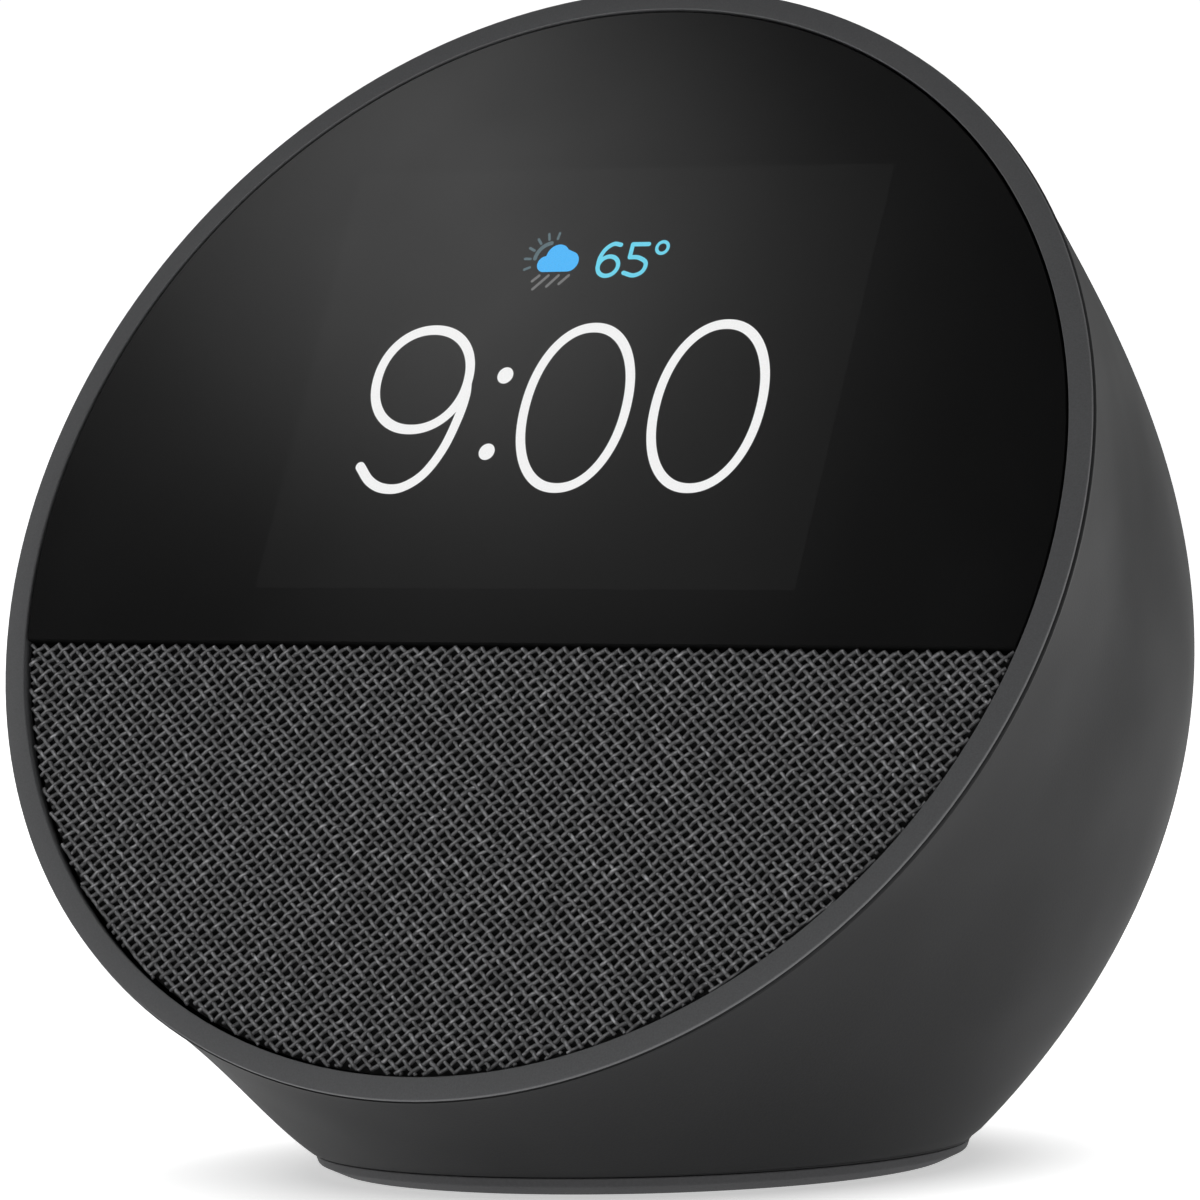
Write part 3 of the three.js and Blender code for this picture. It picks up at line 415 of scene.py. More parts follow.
def cad_materials():
    """One material for each slot that only CAD nodes use."""
    def black(name, roughness, **more):
        return moulded(name + "_cad", slot_color(name), roughness, **more)

    def bare(name, roughness, **more):
        return metal(name + "_cad", scaled(slot_color(name), 0.75), roughness, **more)

    return {
        "panel": dark_glass("panel_cad", slot_color("panel"), 0.15),
        "black_plastic": black("black_plastic", 0.55, grain=0.3),
        "inlet_plastic": SOCKET_PLASTIC,
        "seal_rubber": black("seal_rubber", 0.85, grain=0.5, depth=0.03),
        "basket_metal": black("basket_metal", 0.45, grain=0.25, depth=0.01),
        "cone_paper": woven("cone_paper_cad", (0.012, 0.012, 0.013), (0.035, 0.035, 0.037), 0.8),
        "ferrite": black("ferrite", 0.6, grain=0.15, depth=0.01),
        "chip": black("chip", 0.4, grain=0.12),
        "antenna_film": black("antenna_film", 0.35, grain=0.8, mottle=0.2),
        "ribbon_film": black("ribbon_film", 0.3, grain=0.6, mottle=0.15),
        "lead_red": black("lead_red", 0.45, grain=0.7),
        "lead_black": black("lead_black", 0.45, grain=0.7),
        "circuit_board": circuit("circuit_board_cad", slot_color("circuit_board"), (0.05, 0.16, 0.06)),
        "sheet_aluminium": bare("sheet_aluminium", 0.35, stretch=(20, 1, 1)),
        "screw_steel": bare("screw_steel", 0.3, scale=900),
        "shield_steel": bare("shield_steel", 0.25, stretch=(1, 16, 1)),
        "weight_steel": bare("weight_steel", 0.4, scale=500),
        "copper": bare("copper", 0.3, stretch=(1, 1, 30), scale=500),
        "contact_metal": bare("contact_metal", 0.4),
    }


# ------------------------------------------------------------------ the housing

def round_face(values, angle):
    """A value at one angle round the face, from its values at the top, the sides and the bottom."""
    top, side, bottom = values["top"], values["side"], values["bottom"]
    cosine = math.cos(angle)
    return side + cosine * (top - bottom) / 2 + cosine ** 2 * ((top + bottom) / 2 - side)


def face_radial(angle):
    return ACROSS * math.sin(angle) + UP * math.cos(angle)


def level_radial(angle):
    return Vector((math.sin(angle), math.cos(angle), 0))


def meridian(angle):
    """The four control points of the housing's curve from rim to base, in millimetres."""
    rim = FACE_CENTRE + face_radial(angle) * RIM_RADIUS - OUT * RIM_DEPTH
    base = level_radial(angle) * BASE_RADIUS + Vector((0, BASE_CENTRE_Y, BODY_BOTTOM))
    chord = (rim - base).length
    taper = math.radians(round_face(RIM_TAPER, angle))
    rim_direction = (-OUT - face_radial(angle) * math.tan(taper)).normalized()
    slope = math.radians(round_face(BASE_SLOPE, angle))
    base_direction = level_radial(angle) * math.cos(slope) + Vector((0, 0, math.sin(slope)))
    first = rim + rim_direction * chord * round_face(RIM_PULL, angle)
    second = base + base_direction * chord * round_face(BASE_PULL, angle)
    return rim, first, second, base


def on_curve(points, t):
    a, b, c, d = points
    s = 1 - t
    return a * s ** 3 + b * (3 * s * s * t) + c * (3 * s * t * t) + d * t ** 3


def housing_rows():
    """Rings of points from the rim's rounded edge down the outside, in under the base and up inside."""
    meridians = [(a, meridian(a)) for a in (FULL_TURN * i / ROUND for i in range(ROUND))]

    def row(share, inset, drop=0.0, lift=0.0):
        ring = []
        for angle, curve in meridians:
            inward = face_radial(angle).lerp(level_radial(angle), share).normalized()
            point = on_curve(curve, share) - inward * inset - OUT * drop + Vector((0, 0, lift))
            ring.append(point * MM)
        return ring

    count = OUTSIDE_ROWS["count"]
    outside = [(k / count) ** OUTSIDE_ROWS["crowding"] for k in range(1, count)]
    rows = [row(0, RIM_EDGE * (1 - math.sin(a)), drop=RIM_EDGE * (1 - math.cos(a))) for a in QUARTER]
    rows += [row(share, 0) for share in outside if share > OUTSIDE_ROWS["first"]]
    rows += [row(1, BASE_EDGE * (1 - math.cos(a)), lift=BASE_EDGE * (1 - math.sin(a))) for a in QUARTER]
    rows += [row(1, inset) for inset in BASE_INSETS]
    rows += [row(INSIDE_ROWS["first"] - INSIDE_ROWS["step"] * k, WALL) for k in range(INSIDE_ROWS["count"])]
    return [*rows, row(0, RIM_WALL, drop=RIM_EDGE)]


def rod(radius, low, high, matrix, sides=64):
    """Points and faces of a round rod along the matrix's Z axis."""
    profile = [(0, low), (radius, low), (radius, high), (0, high)]
    return lathe(profile, matrix, sides, closed=False)


def cut_out(piece, cutters):
    """Cuts the cutters out of the piece, and removes them."""
    for tool in cutters:
        modifier = piece.modifiers.new(tool.name, "BOOLEAN")
        modifier.operation = "DIFFERENCE"
        modifier.solver = "EXACT"
        modifier.object = tool
    evaluated = piece.evaluated_get(bpy.context.evaluated_depsgraph_get())
    mesh = bpy.data.meshes.new_from_object(evaluated)
    mesh.set_sharp_from_angle(angle=math.radians(35))
    piece.modifiers.clear()
    piece.data = mesh
    for tool in cutters:
        bpy.data.objects.remove(tool)


def button_frame():
    """The buttons' matrix, on the middle switch: X across, Y back and down the housing, Z out of it."""
    joint = next(j for j in frame["joints"] if j["name"] == "mic_off_press")
    out = -Vector(joint["axis"]).normalized()
    across = Vector((1, 0, 0))
    down = out.cross(across)
    switch_top = max(v.co.dot(out) for v in frame["nodes"]["mic_off_switch"].data.vertices)
    low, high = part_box("mic_off_switch")
    centre = (low + high) / 2
    matrix = Matrix((across, down, out)).transposed().to_4x4()
    matrix.translation = centre + out * (switch_top - centre.dot(out))
    return matrix


BUTTON_NAMES = ("volume_down", "mic_off", "volume_up")
BUTTONS = button_frame()
inlet_low, inlet_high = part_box("power_jack")
INLET_CENTRE = Vector((0, inlet_high.y, (inlet_low.z + inlet_high.z) / 2))
BACKWARD = Matrix.Translation(INLET_CENTRE) @ Matrix.Rotation(-math.pi / 2, 4, "X")


def button_matrix(across, back):
    """The buttons' matrix moved to one place, with its Z at the level of the housing's surface."""
    return BUTTONS @ Matrix.Translation(Vector((across * MM, back * MM, SURFACE_LEVEL * MM)))


def button_across(name):
    low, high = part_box(name + "_button")
    return (low.x + high.x) / 2 / MM


def make_housing():
    """The housing with its holes. Returns its surface as it was before the holes were cut."""
    rows = housing_rows()
    piece = to_object("housing_shell", all_points(rows), join_rows(rows, closes=True), HOUSING)
    surface = BVHTree.FromObject(piece, bpy.context.evaluated_depsgraph_get())
    mouth = INLET["mouth"] + INLET["wall"] + INLET["gap"]
    rods = [rod(BUTTON["hole"], *BUTTON_CUT, button_matrix(button_across(name), 0)) for name in BUTTON_NAMES]
    for side in (-1, 1):
        rods.append(rod(MIC["radius"], *MIC_CUT, button_matrix(side * MIC["across"], MIC["behind"]), 24))
    rods.append(rod(mouth, *INLET_CUT, BACKWARD, SMALL_ROUND))
    cut_out(piece, [to_object("cutter", *each, HOUSING) for each in rods])
    place(piece, "root", "housing", "rear_housing")
    return surface


# ------------------------------------------------------------------ buttons

def surface_height(across, back):
    """How far the housing's surface is above the switches, along the buttons' axis, in millimetres."""
    far_above = 40
    start = BUTTONS @ (Vector((across, back, far_above)) * MM)
    hit, *_ = OUTSIDE.ray_cast(start, -BUTTONS.col[2].to_3d())
    return (BUTTONS.inverted() @ hit).z / MM


def make_button(name):
    """A cap with a rounded edge that follows the housing, and its flange and stem below."""
    across = button_across(name)
    edge, radius = BUTTON["edge"], BUTTON["radius"]
    flange_top = SURFACE_LEVEL - FLANGE_DEPTHS[name]
    flange_low = flange_top - FLANGE_THICKNESS
    stem_end = SURFACE_LEVEL - STEM_END
    turns = [FULL_TURN * i / SMALL_ROUND for i in range(SMALL_ROUND)]
    top = [((radius - edge) * k / BUTTON["rings"], 0.0) for k in range(BUTTON["rings"] + 1)]
    top += [(radius - edge + edge * math.sin(a), edge * (1 - math.cos(a))) for a in QUARTER[1:]]
    rows = []
    for r, drop in top:
        row = []
        for turn in turns:
            x, y = across + r * math.cos(turn), r * math.sin(turn)
            row.append(BUTTONS @ (Vector((x, y, surface_height(x, y) + BUTTON["proud"] - drop)) * MM))
        rows.append(row)
    lower = [(radius, flange_top), (BUTTON["flange"], flange_top), (BUTTON["flange"], flange_low),
             (BUTTON["stem"], flange_low), (BUTTON["stem"], stem_end), (0, stem_end)]
    for r, height in lower:
        ring = [Vector((across + r * math.cos(a), r * math.sin(a), height)) for a in turns]
        rows.append([BUTTONS @ (p * MM) for p in ring])
    cap = to_object(name + "_cap", all_points(rows), join_rows(rows), BUTTON_PLASTIC)
    place(cap, name, "button", name + "_button")


def button_marks():
    """Each button's mark: the width of its strokes, and the strokes, as X across and Y towards the face."""
    minus = [(-1.1, 0), (1.1, 0)]
    upright = [(0, -1.1), (0, 1.1)]
    capsule = [(-0.55, 1.0), (-0.3, 1.45), (0.3, 1.45), (0.55, 1.0), (0.55, 0.1), (0.3, -0.35), (-0.3, -0.35),
               (-0.55, 0.1), (-0.55, 0.9)]
    cradle = smooth_line([(-1.15, 0.1), (-0.8, -0.75), (0, -1.05), (0.8, -0.75), (1.15, 0.1)], 6)
    stand = [(0, -1.05), (0, -1.6)]
    slash = [(-1.6, 1.5), (1.6, -1.5)]
    return {
        "volume_down": (0.34, [minus]),
        "volume_up": (0.34, [minus, upright]),
        "mic_off": (0.22, [capsule, cradle, stand, slash]),
    }


def make_mark(name, width, strokes):
    """Thin raised strokes that lie on a button's cap."""
    across = button_across(name)
    vertices, faces = [], []
    for stroke in strokes:
        stroke_vertices, stroke_faces = ribbon_mesh(stroke, width)
        start = len(vertices)
        for x, y, top in stroke_vertices:
            height = surface_height(across + x, -y) + BUTTON["proud"] + (MARK_RISE if top else -MARK_SUNK)
            vertices.append(BUTTONS @ (Vector((across + x, -y, height)) * MM))
        faces += [tuple(start + i for i in face) for face in stroke_faces]
    place(to_object(name + "_mark", vertices, faces, MARK), name, "button")


# ------------------------------------------------------------------ flat strokes and shapes

def ribbon_mesh(points, width, closed=False):
    """A flat stroke with round ends along 2D points: (x, y, is on top) vertices, and faces."""
    line = [Vector(p) for p in points]
    count = len(line)
    left, right = [], []
    for i, here in enumerate(line):
        before = line[i - 1] if closed or i else here
        after = line[(i + 1) % count] if closed or i < count - 1 else here
        along = (after - before).normalized()
        side = Vector((-along.y, along.x)) * width / 2
        left.append(here + side)
        right.append(here - side)
    if not closed:
        first = (line[1] - line[0]).normalized()
        last = (line[-1] - line[-2]).normalized()
        outline = left + half_circle(line[-1], last, width)
        outline += right[::-1] + half_circle(line[0], -first, width)
        return prism(outline)
    vertices, faces = [], []
    for top in (True, False):
        vertices += [(p.x, p.y, top) for p in left] + [(p.x, p.y, top) for p in right]
    for i in range(count):
        j = (i + 1) % count
        low = 2 * count
        faces.append((i, j, count + j, count + i))
        faces.append((low + i, low + j, low + count + j, low + count + i))
        faces.append((i, j, low + j, low + i))
        faces.append((count + i, count + j, low + count + j, low + count + i))
    return vertices, faces


def half_circle(centre, direction, width, steps=6):
    """The points of a stroke's round end, without its two corners."""
    side = Vector((-direction.y, direction.x))
    turns = [math.pi * k / steps for k in range(1, steps)]
    return [centre + (side * math.cos(a) + direction * math.sin(a)) * width / 2 for a in turns]


def prism(outline):
    """A closed prism over a 2D outline: (x, y, is on top) vertices, and faces."""
    count = len(outline)
    vertices = [(p.x, p.y, True) for p in outline] + [(p.x, p.y, False) for p in outline]
    faces = [tuple(range(count)), tuple(range(count, 2 * count))[::-1]]
    for i in range(count):
        j = (i + 1) % count
        faces.append((i, j, count + j, count + i))
    return vertices, faces


def on_face(name, parts, material, depths=SIGN_DEPTHS):
    """An object of flat parts that lie in the face, between two depths behind the face plane."""
    top_depth, low_depth = depths
    vertices, faces = [], []
    for part_vertices, part_faces in parts:
        start = len(vertices)
        for x, y, top in part_vertices:
            depth = top_depth if top else low_depth
            vertices.append(FACE @ (Vector((x, y, -depth)) * MM))
        faces += [tuple(start + i for i in face) for face in part_faces]
    return to_object(name, vertices, faces, material)


def oval(x, y, half_width, half_height, power=2.0, steps=96, start=0.0, end=FULL_TURN):
    """Points round a superellipse, from one angle to another."""
    whole = abs(end - start - FULL_TURN) < 1e-6
    points = []
    for k in range(steps if whole else steps + 1):
        angle = start + (end - start) * k / steps
        c, s = math.cos(angle), math.sin(angle)
        px = math.copysign(abs(c) ** (2 / power), c)
        py = math.copysign(abs(s) ** (2 / power), s)
        points.append(Vector((x + half_width * px, y + half_height * py)))
    return points


def smooth_line(points, steps=14):
    """A Catmull-Rom line through points."""
    line = [Vector(p) for p in points]
    padded = [line[0] * 2 - line[1], *line, line[-1] * 2 - line[-2]]
    result = []
    for a, b, c, d in zip(padded, padded[1:], padded[2:], padded[3:]):
        for k in range(steps):
            t = k / steps
            result.append(0.5 * (2 * b + (c - a) * t + (2 * a - 5 * b + 4 * c - d) * t ** 2
                                 + (3 * b - a - 3 * c + d) * t ** 3))
    return result + [line[-1]]


# ------------------------------------------------------------------ face

def cover_outline(inset, above):
    """The outline of the part of the cover above or below the split, moved inwards by inset."""
    arc_steps, chord_steps = 150, 60
    radius = (GLASS["radius"] if above else COVER_RADIUS) - inset
    if above:
        chord = SPLIT_HEIGHT + SPLIT_GAP / 2 + inset
        start = math.asin(chord / radius)
        end = math.pi - start
    else:
        chord = SPLIT_HEIGHT - SPLIT_GAP / 2 - inset
        start = math.pi - math.asin(chord / radius)
        end = FULL_TURN + math.asin(chord / radius)
    turns = [start + (end - start) * k / arc_steps for k in range(arc_steps)]
    arc = [Vector((radius * math.cos(a), radius * math.sin(a))) for a in turns]
    first = Vector((radius * math.cos(end), radius * math.sin(end)))
    last = arc[0]
    return arc + [first.lerp(last, k / chord_steps) for k in range(chord_steps)]


def make_glass():
    """The pane, whose two flat sides are glossy and whose rounded edge is painted."""
    edge = GLASS["edge"]
    turns = [math.radians(18 * k) for k in range(6)]
    rings = [(edge * (1 - math.sin(a)), GLASS["front"] + edge * (1 - math.cos(a))) for a in turns]
    rings.append((0, GLASS["back"]))
    rows = []
    for inset, depth in rings:
        rows.append([FACE @ (Vector((p.x, p.y, -depth)) * MM) for p in cover_outline(inset, True)])
    count = len(rows[0])
    front = tuple(range(count))
    back = tuple(range((len(rows) - 1) * count, len(rows) * count))
    piece = to_object("glass_pane", all_points(rows), [*join_rows(rows), front, back], GLASS_BLACK)
    piece.data.materials.append(GLASS_EDGE)
    for polygon in piece.data.polygons:
        is_side = len(polygon.vertices) > 4
        polygon.use_smooth = not is_side
        polygon.material_index = 0 if is_side else 1
    place(piece, "root", "cover_glass", "glass_cover")


def make_bezel():
    inner, outer, skirt_outer = BEZEL["inner"], BEZEL["outer"], BEZEL["skirt_outer"]
    cap, skirt = -BEZEL["cap"], -BEZEL["skirt"]
    top = [(inner, -BEZEL["lip"]), (inner, 0), (outer, -BEZEL["slope"]), (outer, cap)]
    profile = [*soften(top, BEZEL["edge"], 5), (skirt_outer, cap), (skirt_outer, skirt), (inner, skirt)]
    place(to_object("bezel_trim", *lathe(profile, FACE), RING), "root", "bezel", "bezel_ring")


# The clock reads 9:00: each zero's centre and half sizes, and the two dots.
ZEROS = ((1.07, 12.75, 5.45, 8.22), (15.2, 12.85, 5.6, 8.35))
COLON = ((-7.35, 16.1), (-7.33, 8.25))
DIGIT_STROKE = 0.98
SMALL_STROKE = 0.44


def make_time():
    parts = [ribbon_mesh(oval(*zero, 2.12), DIGIT_STROKE, closed=True) for zero in ZEROS]
    bowl = oval(-16.25, 15.72, 4.98, 5.15, 2.1)
    tail = smooth_line([(-11.28, 15.3), (-11.13, 13.9), (-11.36, 11.7), (-12.15, 8.6), (-13.6, 6.0),
                        (-15.6, 4.62), (-17.6, 4.5), (-19.3, 5.25), (-20.72, 6.75)])
    parts += [ribbon_mesh(bowl, DIGIT_STROKE, closed=True), ribbon_mesh(tail, DIGIT_STROKE)]
    parts += [prism(oval(x, y, 0.84, 0.84, steps=32)) for x, y in COLON]
    return on_face("time_digits", parts, TIME_WHITE)


def make_temperature():
    """A six, a five and a degree sign."""
    six = smooth_line([(1.72, 29.52), (0.95, 29.62), (0.2, 29.1), (-0.22, 28.2), (-0.24, 27.2)])
    five_bowl = smooth_line([(2.98, 28.22), (3.9, 28.18), (4.75, 27.75), (4.88, 27.15), (4.55, 26.6),
                             (3.75, 26.33), (2.7, 26.62)])
    parts = [
        ribbon_mesh(six, SMALL_STROKE),
        ribbon_mesh(oval(0.85, 27.32, 1.08, 1.0, steps=40), SMALL_STROKE, closed=True),
        ribbon_mesh([(4.72, 29.56), (3.0, 29.56)], SMALL_STROKE),
        ribbon_mesh([(3.0, 29.56), (2.98, 28.22)], SMALL_STROKE),
        ribbon_mesh(five_bowl, SMALL_STROKE),
        ribbon_mesh(oval(6.26, 29.18, 0.6, 0.6, steps=32), 0.34, closed=True),
    ]
    return on_face("temperature_digits", parts, TEMPERATURE_CYAN)


# The cloud's lobes: centre, radius, and the angles their arcs run between, clockwise from its flat base.
CLOUD_LOBES = ((-6.05, 27.62, 0.82, 270, 95), (-4.85, 28.42, 1.22, 170, 35), (-3.5, 27.86, 1.04, 62, -90))
# The sun behind it: its centre, the angles, ends and width of its rays, and the arc of its disc, given
# like a lobe.
SUN_CENTRE = Vector((-5.6, 28.1))
RAYS = {"angles": (82, 106, 130, 154, 178, 202), "from": 2.15, "to": 2.75, "width": 0.26}
SUN_ARC = (-5.55, 28.1, 1.72, 100, 176)
SUN_ARC_STROKE = 0.42
# The rain's slanting drops, from top to bottom.
RAIN = (((-6.35, 26.42), (-6.98, 25.85)), ((-5.35, 26.42), (-6.72, 25.02)),
        ((-4.25, 26.42), (-5.28, 25.3)), ((-3.15, 26.42), (-4.0, 25.55)))
RAIN_STROKE = 0.28


def arc_of(x, y, radius, start, end, steps):
    """Points along a circle's arc between two angles in degrees."""
    return oval(x, y, radius, radius, steps=steps, start=math.radians(start), end=math.radians(end))


def make_weather():
    cloud = [p for lobe in CLOUD_LOBES for p in arc_of(*lobe, 24)]
    sun = []
    for degrees in RAYS["angles"]:
        ray = Vector((math.cos(math.radians(degrees)), math.sin(math.radians(degrees))))
        ends = [SUN_CENTRE + ray * RAYS[end] for end in ("from", "to")]
        sun.append(ribbon_mesh(ends, RAYS["width"]))
    sun.append(ribbon_mesh(arc_of(*SUN_ARC, 18), SUN_ARC_STROKE))
    return [
        on_face("weather_cloud", [prism(cloud)], CLOUD_BLUE),
        on_face("weather_sun", sun, SUN_GREY),
        on_face("weather_rain", [ribbon_mesh(drop, RAIN_STROKE) for drop in RAIN], RAIN_GREY),
    ]


def make_screen_area():
    """The rectangle behind the glass that is a little lighter than the black round it."""
    half_width, half_height = SCREEN["width"] / 2, SCREEN["height"] / 2
    signs = ((-1, -1), (1, -1), (1, 1), (-1, 1))
    outline = [Vector((half_width * x, half_height * y + SCREEN["centre_up"])) for x, y in signs]
    return on_face("screen_area", [prism(outline)], SCREEN_GLASS, SCREEN_DEPTHS)


# ------------------------------------------------------------------ the fabric

def thread_points(line, lean, drift_at):
    """Centre points and heights along one thread of the net, and its side direction, in the face."""
    step_along = Vector((CELL["width"], lean * CELL["height"])) / 2
    step_over = Vector((CELL["width"], -lean * CELL["height"])) / 2
    side = Vector((-step_along.y, step_along.x)).normalized()
    points = []
    for k in range(-NET_REACH["steps"], NET_REACH["steps"] + 1):
        along = k / 2
        spot = Vector((0, NET_EDGE["first_cross"])) + step_over * line + step_along * along
        if spot.length < NET_EDGE["radius"] and spot.y < NET_EDGE["top"]:
            wave = -lean * math.cos(math.pi * (along + line))
            points.append((spot + side * drift_at(spot), wave * YARN["wave"]))
        elif points:
            break
    return points, side


def yarn_drift():
    """A smooth wandering of the threads, the same each run."""
    source = random.Random(7)
    ranges = ((0.5, 2.2), (0.5, 2.2), (0, FULL_TURN))
    waves = [[source.uniform(*each) for each in ranges] for _ in range(6)]
    return lambda p: sum(math.sin(p.x * a + p.y * b + c) for a, b, c in waves) * 0.02


def make_net():
    """The woven net: two families of flattened yarns that pass over and under each other."""
    drift_at = yarn_drift()
    source = random.Random(11)
    turns = [FULL_TURN * (k + 0.5) / YARN_SIDES for k in range(YARN_SIDES)]
    section = [(math.cos(a), math.sin(a)) for a in turns]
    vertices, faces, painted_yarn_light_and_tone = [], [], []

    def add_thread(points, side):
        size = source.uniform(*YARN_SIZE)
        rings = []
        for centre, height in points:
            # Painted into the yarn's colour: painted shade midway between crossings, a random tone, a few painted
            # glints, and a painted highlight along the middle with painted shade on the sides.
            point_tone_and_painted_light = YARN_TONE_AND_PAINTED_LIGHT["midway"] + (1 - YARN_TONE_AND_PAINTED_LIGHT["midway"]) * abs(height) / YARN["wave"]
            point_tone_and_painted_light *= source.uniform(YARN_TONE_AND_PAINTED_LIGHT["dullest"], 1.0)
            point_tone_and_painted_light *= YARN_TONE_AND_PAINTED_LIGHT["painted_glint"] if source.random() < YARN_TONE_AND_PAINTED_LIGHT["painted_glint_share"] else 1.0
            painted_yarn_light_and_tone.extend(point_tone_and_painted_light * max(YARN_TONE_AND_PAINTED_LIGHT["side"], s) ** 3 for _, s in section)
            centre = centre + Vector((source.uniform(-1, 1), source.uniform(-1, 1))) * YARN["stray"]
            ring = []
            for c, s in section:
                spot = centre + side * (c * YARN["width"] / 2 * size)
                out = -YARN["middle_depth"] + height + s * YARN["thickness"] / 2 * size
                ring.append(FACE @ (Vector((*spot, out)) * MM))
            rings.append(ring)
        start, count = len(vertices), len(rings) * YARN_SIDES
        ends = [tuple(range(YARN_SIDES)), tuple(range(count - YARN_SIDES, count))]
        faces.extend(tuple(start + i for i in face) for face in join_rows(rings) + ends)
        vertices.extend(all_points(rings))

    for lean in (1, -1):
        for line in range(-NET_REACH["threads"], NET_REACH["threads"] + 1):
            points, side = thread_points(line, lean, drift_at)
            if len(points) > 1:
                add_thread(points, side)
    piece = to_object("grille_net", vertices, faces, NET_YARN, 80)
    # The painted highlights, painted shade and random tone of each point go onto the mesh for the yarn's material.
    piece.data.attributes.new("painted_yarn_light_and_tone", "FLOAT", "POINT").data.foreach_set("value", painted_yarn_light_and_tone)
    place(piece, "root", "grille_fabric", "fabric_grille")
    return piece


def make_scrim():
    """The black cloth right behind the net: rings of points from near its middle to its outline."""
    outline = cover_outline(SCRIM["inset"], False)
    middle = sum(outline, Vector((0, 0))) / len(outline)
    rows = []
    for k in range(1, SCRIM["rings"] + 1):
        ring = []
        for p in outline:
            q = middle.lerp(p, k / SCRIM["rings"])
            ripple = SCRIM["ripple"] * math.sin(q.x * 1.3) * math.sin(q.y * 1.1)
            ring.append(FACE @ (Vector((q.x, q.y, ripple - SCRIM["depth"])) * MM))
        rows.append(ring)
    faces = [*join_rows(rows), tuple(range(len(outline)))]
    piece = to_object("grille_scrim", all_points(rows), faces, SCRIM_CLOTH)
    place(piece, "root", "grille_fabric")
    return piece


# ------------------------------------------------------------------ base and inlet

def make_foot():
    """The rubber ring under the base, its middle filled, a little hollow and off the floor."""
    centre = Matrix.Translation(Vector((0, BASE_CENTRE_Y, 0)) * MM)
    height = FOOT["height"]
    side = [(FOOT["hollow_radius"], FOOT["hollow"]), (FOOT["hollow_edge"], 0), (FOOT["bottom"], 0),
            (FOOT["shoulder"], FOOT["shoulder_height"]), (FOOT["top"], height), (FOOT["top_inner"], height)]
    profile = [(0, FOOT["hollow"]), *soften(side, FOOT["edge"], 4), (0, height)]
    piece = to_object("foot_pad", *lathe(profile, centre, closed=False), FOOT_RUBBER)
    place(piece, "root", "foot_rubber", "rubber_foot")


def make_inlet():
    """The recess round the inlet, whose rim follows the housing."""
    centre_z = INLET_CENTRE.z / MM
    start = INLET_CENTRE.y / MM + INLET["floor"]
    inner, outer, edge = INLET["mouth"], INLET["mouth"] + INLET["wall"], INLET["edge"]
    behind = 90  # further back than the housing

    def ring(radius, drop=None):
        """A ring of points: below the rim's level by drop, or at the recess's floor without one."""
        row = []
        for i in range(SMALL_ROUND):
            turn = FULL_TURN * i / SMALL_ROUND
            x, y, z = radius * math.cos(turn), start, centre_z + radius * math.sin(turn)
            if drop is not None:
                hit, *_ = OUTSIDE.ray_cast(Vector((x, behind, z)) * MM, Vector((0, -1, 0)))
                y = hit.y / MM - INLET["sunk"] - drop
            row.append(Vector((x, y, z)) * MM)
        return row

    rows = [
        ring(inner), ring(inner, edge), ring(inner + edge * 0.3, edge * 0.3), ring(inner + edge, 0),
        ring(outer - edge, 0), ring(outer - edge * 0.3, edge * 0.3), ring(outer, edge), ring(outer),
    ]
    piece = to_object("inlet_recess", all_points(rows), join_rows(rows, closes=True), SOCKET_PLASTIC)
    place(piece, "root", "inlet_plastic", "inlet_cup")


def make_jack():
    """The socket: a rounded block with a round bore that stops at its floor."""
    low, high = (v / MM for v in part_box("power_jack"))
    half_width, half_height = (high.x - low.x) / 2, (high.z - low.z) / 2
    centre_z = INLET_CENTRE.z / MM
    floor_y = low.y + JACK["floor"]
    bore, bore_edge, edge = JACK["bore"], JACK["bore_edge"], JACK["edge"]
    turns = [FULL_TURN * i / SMALL_ROUND for i in range(SMALL_ROUND)]

    def square(shrink, y):
        row = []
        for a in turns:
            c, s = math.cos(a), math.sin(a)
            reach = 1 / max(abs(c) / (half_width - shrink), abs(s) / (half_height - shrink))
            row.append(Vector((c * reach, y, centre_z + s * reach)) * MM)
        return row

    def circle(radius, y):
        return [Vector((radius * math.cos(a), y, centre_z + radius * math.sin(a))) * MM for a in turns]

    rows = [
        circle(0, floor_y), circle(bore, floor_y), circle(bore, high.y - bore_edge),
        circle(bore + bore_edge, high.y), square(edge, high.y), square(0, high.y - edge),
        square(0, low.y + edge), square(edge, low.y), circle(0, low.y),
    ]
    piece = to_object("inlet_socket", all_points(rows), join_rows(rows), SOCKET_PLASTIC)
    place(piece, "root", "inlet_plastic", "power_jack")


# ------------------------------------------------------------------ camera, floor and light

def make_camera():
    azimuth, elevation, roll = (math.radians(CAMERA[k]) for k in ("azimuth", "elevation", "roll"))
    forward = Vector((-math.sin(azimuth) * math.cos(elevation), math.cos(azimuth) * math.cos(elevation),
                      -math.sin(elevation)))
    level = Vector((math.cos(azimuth), math.sin(azimuth), 0))
    above = level.cross(forward)
    right = level * math.cos(roll) + above * math.sin(roll)
    up = above * math.cos(roll) - level * math.sin(roll)
    target = Vector((0, BASE_CENTRE_Y - AIM["ahead"], AIM["height"])) + right * AIM["across"] + up * AIM["up"]
    data = bpy.data.cameras.new("camera")
    data.lens = CAMERA["lens"]
    data.sensor_width = 36
    data.clip_end = 100
    camera = bpy.data.objects.new("camera", data)
    matrix = Matrix((right, up, -forward)).transposed().to_4x4()
    matrix.translation = (target - forward * CAMERA["distance"]) * MM
    camera.matrix_world = matrix
    bpy.context.scene.collection.objects.link(camera)
    bpy.context.scene.camera = camera


# The floor's own light, close to the base and further away, which brings it to the background's white; the weaker
# light close to the base paints a contact shadow round it.
FLOOR_GLOW_AND_PAINTED_SHADOW = (0.5, 0.9)
FLOOR_HALF_SIZE = 12  # metres
